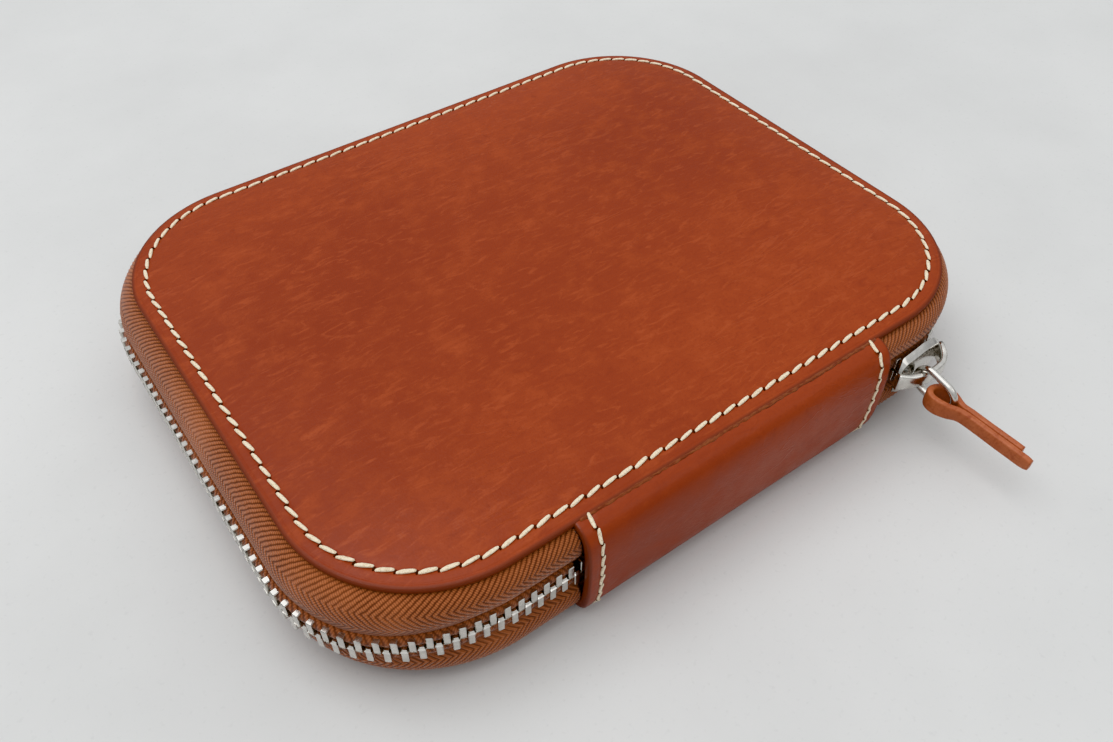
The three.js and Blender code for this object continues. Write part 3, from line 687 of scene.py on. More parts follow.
def panel_mesh(outline, rings, height, count_x, count_y):
    """A panel with round corners. rings are the insets and levels from the underside inwards,
    and height(point, inset) lifts the points of the open top."""
    bm = bmesh.new()
    bmesh.ops.create_grid(bm, x_segments=count_x, y_segments=count_y, size=0.5)
    deepest = min(count_x, count_y) // 2
    last = rings[-1][0]
    inner = min(outline.half_x, outline.half_y) * 0.985
    for vert in bm.verts:
        i = round((vert.co.x + 0.5) * count_x)
        j = round((vert.co.y + 0.5) * count_y)
        ring = min(i, count_x - i, j, count_y - j)
        if ring < len(rings):
            inset, level = rings[ring]
        else:
            inset = last + (inner - last) * (ring - len(rings) + 1) / (deepest - len(rings) + 1)
            level = None
        across = (i - ring) / max(count_x - 2 * ring, 1)
        up = (j - ring) / max(count_y - 2 * ring, 1)
        if j == ring:
            side, share = "front", across
        elif j == count_y - ring:
            side, share = "back", across
        elif i == ring:
            side, share = "left", up
        else:
            side, share = "right", up
        point = outline.shrunk(inset).side_point(side, share)
        point.z = height(point, inset) if level is None else level
        vert.co = point
    rims = [edge for edge in bm.edges if edge.is_boundary]
    bmesh.ops.holes_fill(bm, edges=rims, sides=0)
    return outward(bm)


def flipped(bm, level):
    """Turns a worked mesh over about a level plane, as for the lower half."""
    bmesh.ops.scale(bm, vec=(1, 1, -1), verts=bm.verts[:])
    lift(bm, 2 * level)
    return outward(bm)


def ease(value):
    value = min(max(value, 0.0), 1.0)
    return value * value * (3 - 2 * value)


# ---------------------------------------------------------------- covers


def cover_outline():
    return Outline(HALF_LENGTH, HALF_WIDTH, bpy.context.scene.wallet_panels.corner)


def swell(inset, crown, reach):
    """How far a panel has risen above its edge."""
    share = min(inset / reach, 1.0)
    return crown * (1 - (1 - share) ** 2.6)


def cover_mesh(crown, reach, liveliness, seed):
    """A skived, creased and burnished panel, its edge at height zero."""
    panels = bpy.context.scene.wallet_panels
    seam = bpy.context.scene.wallet_stitches.inset
    thick = panels.thickness
    wall = [
        (0.9 * MM, -thick),
        (0.2 * MM, -thick + 0.04 * MM),
        (0.04 * MM, -thick + 0.2 * MM),
        (0.0, -0.6 * MM),
        (0.0, -0.26 * MM),
        (0.08 * MM, -0.07 * MM),
        (0.26 * MM, 0.0),
    ]
    crease = panels.crease
    marks = (
        (crease - 0.4 * MM, 0.01 * MM),
        (crease - 0.12 * MM, -0.01 * MM),
        (crease, -0.08 * MM),
        (crease + 0.14 * MM, -0.01 * MM),
        (crease + 0.4 * MM, 0.01 * MM),
        (seam - 0.8 * MM, 0.01 * MM),
        (seam - 0.5 * MM, -0.04 * MM),
        (seam - 0.15 * MM, -0.18 * MM),
        (seam + 0.15 * MM, -0.18 * MM),
        (seam + 0.5 * MM, -0.04 * MM),
        (seam + 0.9 * MM, 0.03 * MM),
        (seam + 1.6 * MM, 0.05 * MM),
        (seam + 2.8 * MM, 0.02 * MM),
    )
    rings = wall + [(inset, swell(inset, crown, reach) + dent) for inset, dent in marks]

    def height(point, inset):
        lively = liveliness * ease((inset - 5 * MM) / (14 * MM))
        slow = noise.noise(Vector((point.x * 19, point.y * 24, seed)))
        quick = noise.noise(Vector((point.x * 62, point.y * 78, seed + 4.0)))
        return swell(inset, crown, reach) + lively * (slow + 0.28 * quick)

    return panel_mesh(cover_outline(), rings, height, 128, 104)


class MakeCovers(bpy.types.Operator):
    """Make the upper and lower leather panels"""

    bl_idname = "wallet.make_covers"
    bl_label = "Leather panels"

    def execute(self, context):
        panels = context.scene.wallet_panels
        outline = cover_outline()
        edge = COVER_HIGH.z - panels.crown
        upper = cover_mesh(panels.crown, panels.crown_reach, 0.34 * MM, 3.0)
        lift(upper, edge)
        lower = flipped(cover_mesh(panels.sag, panels.sag_reach, 0.0, 9.0), 0.0)
        lift(lower, BASE_LOW.z + panels.sag)
        for name, bm, body, node in (
            ("top_leather", upper, "lid", "top_cover"),
            ("bottom_leather", lower, "base", "bottom_cover"),
        ):
            piece = make_piece(name, bm, body, [node], "panel leather")
            note(piece, "from_edge", outline.inset_of)
        return {"FINISHED"}


# ---------------------------------------------------------------- stitching


def thread_shape(span, width, lift):
    """One stitch: a plump length of twisted thread that dips at both ends."""
    bm = bmesh.new()
    bmesh.ops.create_uvsphere(bm, u_segments=8, v_segments=7, radius=0.5)
    bmesh.ops.rotate(bm, cent=(0, 0, 0), matrix=Matrix.Rotation(math.pi / 2, 3, "Y"), verts=bm.verts[:])
    for vert in bm.verts:
        share = vert.co.x * 2
        full = (1 - abs(share) ** 5.0) ** 0.45 if abs(share) < 1 else 0.12
        radial = Vector((vert.co.y, vert.co.z)).normalized() * 0.5 if abs(share) < 0.999 else Vector((0, 0))
        twist = Matrix.Rotation(share * 1.1, 2)
        radial = twist @ radial
        ply = 1.0 + 0.10 * math.cos(2 * math.atan2(radial.y, radial.x) + share * 5.0)
        vert.co.x = share * span / 2
        vert.co.y = radial.x * width * full * ply
        vert.co.z = radial.y * width * 0.8 * full * ply
        vert.co.z += lift * (1 - share * share) - 0.12 * width * share**4
    return as_mesh(outward(bm), "thread")


def hole_shape(size):
    """One pricked hole: a narrow slit, painted dark as the shade inside the hole."""
    bm = bmesh.new()
    bmesh.ops.create_icosphere(bm, subdivisions=1, radius=0.5)
    bmesh.ops.scale(bm, vec=(size, size * 0.55, size * 0.3), verts=bm.verts[:])
    return as_mesh(bm, "hole")


def seam_meshes(stations, pitch, width, slant, hole):
    """The thread of a seam, and dark slits painted as the shade in its holes, through stations of (place,
    along, up).
    """
    dice = random.Random(17)
    beside = 0.12 * width
    threads = bmesh.new()
    holes = bmesh.new()
    stitch = thread_shape(pitch, width, width * 0.14)
    slit = hole_shape(hole)
    for place, along, up in stations:
        lean = Matrix.Rotation(slant + dice.uniform(-0.05, 0.05), 4, "Z")
        size = Matrix.Diagonal((dice.uniform(0.95, 1.03), dice.uniform(0.92, 1.08), 1.0, 1.0))
        matrix = upright(place, along, up)
        add_shape(threads, stitch, matrix @ lean @ size)
        between = Matrix.Translation((pitch / 2, beside, 0.0))
        # Each hole is a dark slit, painted shade in place of a real opening.
        add_shape(holes, slit, matrix @ between @ Matrix.Rotation(slant + 1.0, 4, "Z"))
    bpy.data.meshes.remove(stitch)
    bpy.data.meshes.remove(slit)
    return threads, holes


def make_seam(name, stations, pitch, body, nodes, width=None):
    sizes = bpy.context.scene.wallet_stitches
    width = width or sizes.thread
    threads, holes = seam_meshes(stations, pitch, width, sizes.slant, sizes.hole * width / sizes.thread)
    make_piece(name, threads, body, nodes, "waxed thread")
    # The holes get the dark painted-shade material.
    make_piece(name + "_holes", holes, body, (), "pricked hole")


def panel_seam(level_of, up_sign):
    """Stations round a panel at the seam's inset."""
    sizes = bpy.context.scene.wallet_stitches
    line = cover_outline().shrunk(sizes.inset)
    count = round(line.total() / sizes.pitch)
    pitch = line.total() / count
    stations = []
    for step in range(count):
        place, normal = line.at((step + 0.5) * pitch)
        along = Vector((normal.y, -normal.x, 0))
        place.z = level_of
        up = Vector((normal.x * 0.18, normal.y * 0.18, up_sign)).normalized()
        stations.append((place, along, up))
    return stations, pitch


class MakeStitching(bpy.types.Operator):
    """Make the saddle stitching round both panels"""

    bl_idname = "wallet.make_stitching"
    bl_label = "Panel stitching"

    def execute(self, context):
        panels = context.scene.wallet_panels
        sizes = context.scene.wallet_stitches
        sunk = 0.02 * MM
        top = COVER_HIGH.z - panels.crown + swell(sizes.inset, panels.crown, panels.crown_reach)
        low = BASE_LOW.z + panels.sag - swell(sizes.inset, panels.sag, panels.sag_reach)
        stations, pitch = panel_seam(top - sunk, 1.0)
        make_seam("top_seam", stations, pitch, "lid", ["top_stitching"])
        stations, pitch = panel_seam(low + 0.09 * MM, -1.0)
        make_seam("bottom_seam", stations, pitch, "base", ["bottom_stitching"])
        return {"FINISHED"}


# ---------------------------------------------------------------- spine


def spine_profile(depth):
    """The spine's section as (beyond the panel edge, height), depth below its outer surface."""
    top = SPINE_HIGH.z - depth
    bottom = SPINE_LOW.z + depth
    bulge = -HALF_WIDTH - SPINE_LOW.y - depth
    middle = (top + bottom) / 2
    half = (top - bottom) / 2
    fullest = 4.6 * MM
    points = []
    for height, out in (
        (1.0, -0.45 * MM),
        (1.0, 0.35 * MM),
        (0.985, 1.3 * MM),
        (0.925, 2.6 * MM),
        (0.80, 3.75 * MM),
        (0.60, 4.35 * MM),
        (0.32, fullest),
        (0.0, fullest),
        (-0.32, 4.45 * MM),
        (-0.60, 4.1 * MM),
        (-0.80, 3.5 * MM),
        (-0.925, 2.5 * MM),
        (-0.985, 1.3 * MM),
        (-1.0, 0.35 * MM),
        (-1.0, -0.45 * MM),
    ):
        if out > 0:
            out = min(out * bulge / fullest, bulge)
        points.append(Vector((out, middle + half * height, 0)))
    return points


def through(points, share):
    """A place on the smooth line through points, at a share of its length by count."""
    spot = min(max(share, 0.0), 1.0) * (len(points) - 1)
    i = min(int(spot), len(points) - 2)
    t = spot - i
    a = points[max(i - 1, 0)]
    b, c = points[i], points[i + 1]
    d = points[min(i + 2, len(points) - 1)]
    bend = 2 * a - 5 * b + 4 * c - d
    return 0.5 * (2 * b + (c - a) * t + bend * t * t + (3 * b - a - 3 * c + d) * t**3)


def evenly(points, count):
    """Count + 1 places spaced evenly along the smooth line through points."""
    fine = [through(points, step / 400) for step in range(401)]
    walked = [0.0]
    for a, b in zip(fine, fine[1:]):
        walked.append(walked[-1] + (b - a).length)
    made = []
    index = 0
    for step in range(count + 1):
        target = walked[-1] * step / count
        while index < 399 and walked[index + 1] < target:
            index += 1
        gap = walked[index + 1] - walked[index]
        made.append(fine[index].lerp(fine[index + 1], (target - walked[index]) / max(gap, 1e-12)))
    return made, walked[-1]


class MakeSpine(bpy.types.Operator):
    """Make the leather spine, its two seams and its lining"""

    bl_idname = "wallet.make_spine"
    bl_label = "Spine"

    def execute(self, context):
        sizes = context.scene.wallet_spine
        left, right = SPINE_LOW.x, SPINE_HIGH.x
        rows, columns = 118, 60
        section, reach = evenly(spine_profile(0.0), columns)

        def place(row, column):
            x = left + (right - left) * row / rows
            spot = section[column]
            inside = min(x - left, right - x)
            seam = abs(inside - sizes.inset)
            dent = -0.22 * MM * max(0.0, 1 - seam / (0.9 * MM)) if inside < 6 * MM else 0.0
            bead = 0.10 * MM * max(0.0, 1 - abs(inside - 1.1 * MM) / (1.4 * MM))
            wave = 0.16 * MM * noise.noise(Vector((x * 34, spot.y * 50, 2.0))) * ease(inside / (12 * MM))
            out = Vector((spot.x, spot.y - MIDDLE, 0)).normalized() * (dent + bead + wave)
            return Vector((x, -HALF_WIDTH - spot.x - max(out.x, -0.2 * MM), spot.y + out.y * 0.6))

        bm = outward(surface(rows, columns, place))
        face_towards(bm, OUTWARDS)
        spine = make_piece("spine_leather", bm, "spine", ["spine_strip"], "spine leather")
        note(spine, "from_edge", lambda spot: min(spot.x - left, right - spot.x))
        thicken(spine, sizes.thickness)
        round_edges(spine, 0.6 * MM, 3)
        count = round(reach * 0.94 / sizes.pitch)
        line, reach = evenly(spine_profile(-0.02 * MM), count * 2)
        for side, x in (("left", left + sizes.inset), ("right", right - sizes.inset)):
            stations = []
            for step in range(count):
                here = line[2 * step + 1]
                along = line[2 * step + 2] - line[2 * step]
                along = Vector((0, -along.x, along.y))
                up = along.cross(Vector((-1, 0, 0)))
                stations.append((Vector((x, -HALF_WIDTH - here.x, here.y)), along, up))
            node = f"spine_stitching_{side}"
            make_seam(f"spine_seam_{side}", stations, reach / count, "spine", [node], 0.72 * MM)
        self.make_lining(sizes.thickness)
        self.make_fibres(left, right)
        return {"FINISHED"}

    def make_lining(self, thickness):
        low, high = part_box("spine_lining")
        section, _ = evenly(spine_profile(thickness + 0.3 * MM), 36)
        section = section[2:-2]
        rows = 60

        def place(row, column):
            x = low.x + (high.x - low.x) * row / rows
            spot = section[column]
            return Vector((x, -HALF_WIDTH - max(spot.x, 0.6 * MM), spot.y))

        bm = outward(surface(rows, len(section) - 1, place))
        face_towards(bm, OUTWARDS)
        lining = make_piece(
            "spine_inside", bm, "spine", ["spine_lining"], "lining leather"
        )
        note(lining, "from_edge", lambda spot: min(spot.x - low.x, high.x - spot.x))
        thicken(lining, 0.6 * MM)

    def make_fibres(self, left, right):
        """The fuzzy raw line where each panel meets the spine."""
        for name, level, sign in (("upper", SPINE_HIGH.z, 1.0), ("lower", SPINE_LOW.z, -1.0)):
            rows = 300
            short = 1.2 * MM

            def place(row, column):
                x = left + short + (right - left - 2 * short) * row / rows
                turn = FULL_TURN * column / CORD_SIDES
                rough = noise.noise(Vector((x * 900, column % CORD_SIDES * 0.9, 5.0)))
                fat = (0.30 + 0.16 * rough + 0.10 * noise.noise(Vector((x * 260, 3.0, 1.0)))) * MM
                y = -HALF_WIDTH + 0.1 * MM + fat * 1.5 * math.cos(turn)
                return Vector((x, y, level - sign * 0.02 * MM + fat * 0.8 * math.sin(turn)))

            bm = outward(surface(rows, CORD_SIDES, place, seam=True, cap=True))
            make_piece(f"{name}_raw_edge", bm, "spine", (), "raw leather")


# ---------------------------------------------------------------- zip


def tape_profile():
    """The upper tape's section as (beyond the panel edge, height), from under the cover to the teeth."""
    drop = RIM - TEETH_HIGH.z
    spots = (
        (-0.3, 0.0),
        (0.75, 0.035),
        (1.75, 0.16),
        (2.25, 0.34),
        (2.3, 0.52),
        (2.0, 0.68),
        (1.55, 0.81),
        (1.15, 0.92),
        (0.9, 1.02),
    )
    return [Vector((-FLANGE, RIM, 0))] + [Vector((out * MM, RIM - drop * fall, 0)) for out, fall in spots]


def zip_line(start_x, end_x):
    """The panel's outline and the distances at which the zip starts and ends."""
    outline = cover_outline()
    return outline, -start_x, outline.total() - end_x


def side_bow(place, normal):
    """How far the tape leans out beyond its corners: most on the straight sides, none by the spine."""
    if normal.y < 0.0:
        straight = ease((abs(normal.x) - 0.15) / 0.85)
    else:
        straight = 0.55 + 0.45 * ease((max(abs(normal.x), abs(normal.y)) - 0.71) / 0.29)
    past_slider = ease((place.y + 22 * MM) / (20 * MM)) if normal.x > 0.3 else 1.0
    return bpy.context.scene.wallet_zip.bow * straight * past_slider


def carried(outline, distance, spot):
    """A section's spot, carried to a distance along the outline and leaning out with the tape."""
    place, normal = outline.at(distance)
    share = 1 - min(abs(spot.y - MIDDLE) / (RIM - MIDDLE), 1.0)
    out = spot.x + side_bow(place, normal) * min(share * 1.2, 1.0)
    return Vector((place.x + normal.x * out, place.y + normal.y * out, spot.y))


class MakeTapes(bpy.types.Operator):
    """Make the two woven halves of the zip tape"""

    bl_idname = "wallet.make_tapes"
    bl_label = "Zip tapes"

    def execute(self, context):
        self.make_tape("upper_tape", "lid", ["upper_zip_tape"], False)
        self.make_tape("lower_tape", "base", ["lower_zip_tape"], True)
        return {"FINISHED"}

    def make_tape(self, name, body, nodes, turned_over):
        sizes = bpy.context.scene.wallet_zip
        outline, start, end = zip_line(SPINE_LOW.x, SPINE_HIGH.x)
        step = sizes.rib / 3
        rows = round((end - start) / step)
        profile = tape_profile()
        shown, width = evenly(profile[1:], round(SHOWN / step))
        hidden = [profile[0], profile[0].lerp(shown[0], 0.5)]
        spots = hidden + shown
        across = [-FLANGE, -FLANGE / 2] + [width * i / (len(shown) - 1) for i in range(len(shown))]
        columns = len(spots) - 1
        seed = 7.0 if turned_over else 1.0
        outs = []
        for i, spot in enumerate(spots):
            tangent = spots[min(i + 1, columns)] - spots[max(i - 1, 0)]
            outs.append(Vector((-tangent.y, tangent.x, 0)).normalized())

        def place(row, column):
            distance = start + (end - start) * row / rows
            w = across[column]
            spot = spots[column].copy()
            if w > 0:
                along = row * step
                lean = min(abs(w - TURN_LINE), 2 * BACK_TURN - TURN_LINE - w)
                ribs = math.cos(FULL_TURN * (along + lean) / sizes.rib)
                fade = ease(w / (0.6 * MM)) * (1.0 - 0.7 * ease((w - BACK_TURN) / (1.2 * MM)))
                sway = 0.14 * MM * noise.noise(Vector((distance * 26, w * 90, seed)))
                spot += outs[column] * (sizes.rib_height * 0.5 * ribs * fade + sway * ease(w / (2 * MM)))
            return carried(outline, distance, spot)

        bm = surface(rows, columns, place)
        map_cloth(bm, lambda row, column: (row * step, across[round(column)]))
        outward(bm)
        if turned_over:
            flipped(bm, MIDDLE)
        test = max(bm.faces, key=lambda face: -face.calc_center_median().x)
        if test.normal.x > 0:
            bmesh.ops.reverse_faces(bm, faces=bm.faces[:])
        tape = make_piece(name, bm, body, nodes, "twill tape")
        top = spots[0].y
        low = spots[-1].y

        def near_teeth(point):
            z = 2 * MIDDLE - point.z if turned_over else point.z
            return min(max((top - z) / (top - low), 0.0), 1.0)

        note(tape, "near_teeth", near_teeth)
        thicken(tape, sizes.tape)
        cuts = 200
        for cut in range(cuts):
            distance = start + (end - start) * (cut + 0.5) / cuts
            line = [carried(outline, distance, spot) for spot in spots]
        self.make_cord(name, body, turned_over, outline, start, end)

    def make_cord(self, name, body, turned_over, outline, start, end):
        """The thick woven edge that the teeth are clamped on."""
        sizes = bpy.context.scene.wallet_zip
        rows = 1100
        level = TEETH_HIGH.z - 1.1 * MM
        short = 1.0 * MM

        def place(row, column):
            distance = start + short + (end - start - 2 * short) * row / rows
            turn = FULL_TURN * column / CORD_SIDES
            yarns = noise.noise(Vector((distance * 2200, column % CORD_SIDES * 1.7, 0.5)))
            fat = 0.62 * MM * (1 + 0.16 * yarns)
            spot = Vector((sizes.chain + fat * math.cos(turn), level + 2.4 * fat * math.sin(turn), 0))
            return carried(outline, distance, spot)

        bm = surface(rows, CORD_SIDES, place, seam=True, cap=True)
        map_cloth(bm, lambda row, column: ((end - start) * row / rows, column * YARN))
        outward(bm)
        if turned_over:
            flipped(bm, MIDDLE)
        cord = make_piece(name + "_edge", bm, body, (), "twill tape")
        # The whole cord gets much of the tape's painted shade by the teeth.
        note(cord, "near_teeth", lambda spot: 0.85)


def tooth_shape(width):
    """One tooth: a block clamped over the tape's edge, with a narrower head below it."""
    clamp = 3.0 * MM
    head = 0.6 * MM
    bm = bmesh.new()
    bmesh.ops.create_cube(bm, size=1.0)
    bmesh.ops.scale(bm, vec=(width, 2.15 * MM, clamp), verts=bm.verts[:])
    lift(bm, -clamp / 2)
    bm.faces.ensure_lookup_table()
    foot = min(bm.faces, key=lambda face: face.calc_center_median().z)
    bmesh.ops.inset_region(bm, faces=[foot], thickness=0.13 * MM)
    made = bmesh.ops.extrude_face_region(bm, geom=[foot])
    fresh = [item for item in made["geom"] if isinstance(item, bmesh.types.BMVert)]
    bmesh.ops.delete(bm, geom=[foot], context="FACES_ONLY")
    bmesh.ops.translate(bm, vec=(0, 0, -head), verts=fresh)
    bmesh.ops.scale(bm, vec=(0.84, 0.8, 1), verts=fresh)
    sharp = [edge for edge in bm.edges if edge.calc_face_angle(0) > 0.7]
    corners = [edge for edge in sharp if abs(edge.verts[0].co.z) < clamp + head / 3]
    bmesh.ops.bevel(
        bm, geom=corners, offset=0.16 * MM, affect="EDGES", segments=1, profile=0.5, material=-1
    )
    return as_mesh(outward(bm), "tooth")


class MakeTeeth(bpy.types.Operator):
    """Make the two rows of nickel teeth and their stops"""

    bl_idname = "wallet.make_teeth"
    bl_label = "Teeth and stops"

    def execute(self, context):
        clear = 0.3 * MM
        start_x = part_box("bottom_stop")[0].x - clear
        end_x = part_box("upper_top_stop")[1].x + clear
        self.make_row("upper_teeth", "lid", ["upper_zip_teeth"], start_x, end_x, 0.0, False)
        self.make_row("lower_teeth", "base", ["lower_zip_teeth"], start_x, end_x, 0.5, True)
        for name, body in (("upper_top_stop", "lid"), ("lower_top_stop", "base"), ("bottom_stop", "base")):
            self.make_stop(name, body)
        return {"FINISHED"}

    def make_row(self, name, body, nodes, start_x, end_x, shift, turned_over):
        sizes = bpy.context.scene.wallet_zip
        outline, start, _ = zip_line(start_x, end_x)
        middle = Outline(
            outline.half_x + sizes.chain, outline.half_y + sizes.chain, outline.radius + sizes.chain
        )
        first = start + sizes.tooth / 2
        run = middle.total() - start - end_x - sizes.tooth
        count = int(run / sizes.pitch - shift)
        dice = random.Random(5 if turned_over else 6)
        tooth = tooth_shape(sizes.tooth)
        bm = bmesh.new()
        for step in range(count + 1):
            place, normal = middle.at(first + (step + shift) * sizes.pitch)
            place += normal * (side_bow(place, normal) + dice.uniform(-0.05, 0.05) * MM)
            place.z = TEETH_HIGH.z + dice.uniform(-0.05, 0.03) * MM
            along = Vector((normal.y, -normal.x, dice.uniform(-0.02, 0.02)))
            add_shape(bm, tooth, upright(place, along, UP))
        bpy.data.meshes.remove(tooth)
        if turned_over:
            flipped(bm, MIDDLE)
        make_piece(name, bm, body, nodes, "nickel plate", smooth=False)

    def make_stop(self, node, body):
        low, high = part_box(node)
        bm = bmesh.new()
        bmesh.ops.create_cube(bm, size=1.0)
        bmesh.ops.scale(bm, vec=high - low, verts=bm.verts[:])
        bmesh.ops.translate(bm, vec=(low + high) / 2, verts=bm.verts[:])
        bmesh.ops.bevel(
            bm, geom=bm.edges[:], offset=0.3 * MM, affect="EDGES", segments=2, profile=0.5, material=-1
        )
        make_piece(f"{node}_clamp", bm, body, [node], "nickel plate")


# ---------------------------------------------------------------- slider and pull


def slider_frame():
    """The slider's own frame: X along the chain, -Y outwards, its origin in the chain's middle."""
    turn = bpy.context.scene.wallet_pull.turn
    radius = bpy.context.scene.wallet_panels.corner + bpy.context.scene.wallet_zip.chain
    corner_x = HALF_LENGTH - bpy.context.scene.wallet_panels.corner
    corner_y = HALF_WIDTH - bpy.context.scene.wallet_panels.corner
    place = Vector((corner_x + radius * math.sin(turn), -corner_y - radius * math.cos(turn), MIDDLE))
    return Matrix.Translation(place) @ Matrix.Rotation(turn, 4, "Z")


def swept(path, section, closed_path=False):
    """A bar of an even section along a path. path holds (place, side, up) and section (side, up)."""
    rows = len(path) if closed_path else len(path) - 1
    sides = len(section)

    def place(row, column):
        centre, side, up = path[row % len(path)]
        a, b = section[column % sides]
        return centre + side * a + up * b

    bm = surface(rows, sides, place, seam=True, cap=not closed_path)
    return outward(bm)


def rounded_section(width, height, radius, steps=3):
    """The outline of a bar with rounded corners."""
    points = []
    for quadrant, (sx, sy) in enumerate(((1, 1), (-1, 1), (-1, -1), (1, -1))):
        for step in range(steps + 1):
            turn = math.radians(90 * quadrant + 90 * step / steps)
            across = sx * (width / 2 - radius) + radius * math.cos(turn)
            up = sy * (height / 2 - radius) + radius * math.sin(turn)
            points.append((across, up))
    return points


class MakeSlider(bpy.types.Operator):
    """Make the slider's two plates and its bail"""

    bl_idname = "wallet.make_slider"
    bl_label = "Slider"

    def execute(self, context):
        sizes = context.scene.wallet_pull
        self.placed = slider_frame()
        self.make_plate("slider_face", ["slider_front"], -1.7 * MM, -1.0, 0.75 * MM)
        self.make_plate("slider_rear", ["slider_back"], 2.35 * MM, 1.0, 0.35 * MM)
        self.make_bail(sizes)
        return {"FINISHED"}

    def make_plate(self, name, nodes, inner, side, dish):
        """A boat-shaped plate, wide towards the spine, with flanges that turn in over the tape."""
        sizes = bpy.context.scene.wallet_pull
        half = 7.0 * MM
        wide, narrow = 4.8 * MM, 3.7 * MM
        blunt, pointed = 2.4 * MM, 2.6 * MM
        flange = 1.25 * MM * (0.55 if side > 0 else 1.0)
        rows, columns = 28, 22

        def tall(x):
            share = (x + half) / (2 * half)
            height = wide + (narrow - wide) * ease((share - 0.55) / 0.45)
            round_left = math.sqrt(max(1 - max(-(x + half - blunt) / blunt, 0.0) ** 2, 0.0))
            round_right = math.sqrt(max(1 - max((x - half + pointed) / pointed, 0.0) ** 2, 0.0))
            return height * (0.45 + 0.55 * min(round_left, round_right))

        def place(row, column):
            x = -half + 2 * half * row / rows
            across = 2 * column / columns - 1
            z = tall(x) * across
            lip = ease((abs(across) - 0.80) / 0.20)
            ends = 1 - 0.55 * ease((abs(x) / half - 0.72) / 0.28)
            bow = dish * 0.5 * (1 - (x / half) ** 2)
            out = bow * (1 - across * across * 0.6) - flange * lip * ends
            return Vector((x, inner + side * (sizes.plate * 0.9 + out), z))

        bm = outward(surface(rows, columns, place))
        bmesh.ops.transform(bm, matrix=self.placed, verts=bm.verts[:])
        face_towards(bm, self.placed.to_3x3() @ Vector((0, side, 0)))
        plate = make_piece(name, bm, "slider", nodes, "nickel plate")
        thicken(plate, 0.85 * MM)
        round_edges(plate, 0.28 * MM, 3, 40)

    def arch(self, share):
        """How far the bail stands off the plate; it rises slowly and falls steeply beyond the ring."""
        highest = 0.25
        run = 1 + highest if share < highest else 1 - highest
        return 3.5 * MM * (1 - abs((share - highest) / run) ** 2.4)

    def make_bail(self, sizes):
        """The arch that holds the ring: a flat band that springs from the plate at both ends."""
        half_span = 7.2 * MM
        band = 3.3 * MM
        foot = 2.6 * MM
        count = 32
        path = []
        for step in range(count + 1):
            share = 2 * step / count - 1
            path.append(Vector((half_span * share, -2.75 * MM - self.arch(share), 0.15 * MM)))
        arch = []
        for step, spot in enumerate(path):
            tangent = (path[min(step + 1, count)] - path[max(step - 1, 0)]).normalized()
            arch.append((spot, Vector((tangent.y, -tangent.x, 0)), UP))
        bm = swept(arch, rounded_section(sizes.bail, band, 0.45 * MM))
        for vert in bm.verts:
            end = ease((abs(vert.co.x) - 4.6 * MM) / foot)
            vert.co.z *= 1 + 0.25 * end
        bmesh.ops.transform(bm, matrix=self.placed, verts=bm.verts[:])
        make_piece("slider_arch", bm, "slider", ["slider_bail"], "nickel plate")


def pull_frame(joint):
    """The frame at a pull joint: -Y points away from the wallet."""
    return Matrix.Translation(Vector(JOINTS[joint]["pos_m"]))


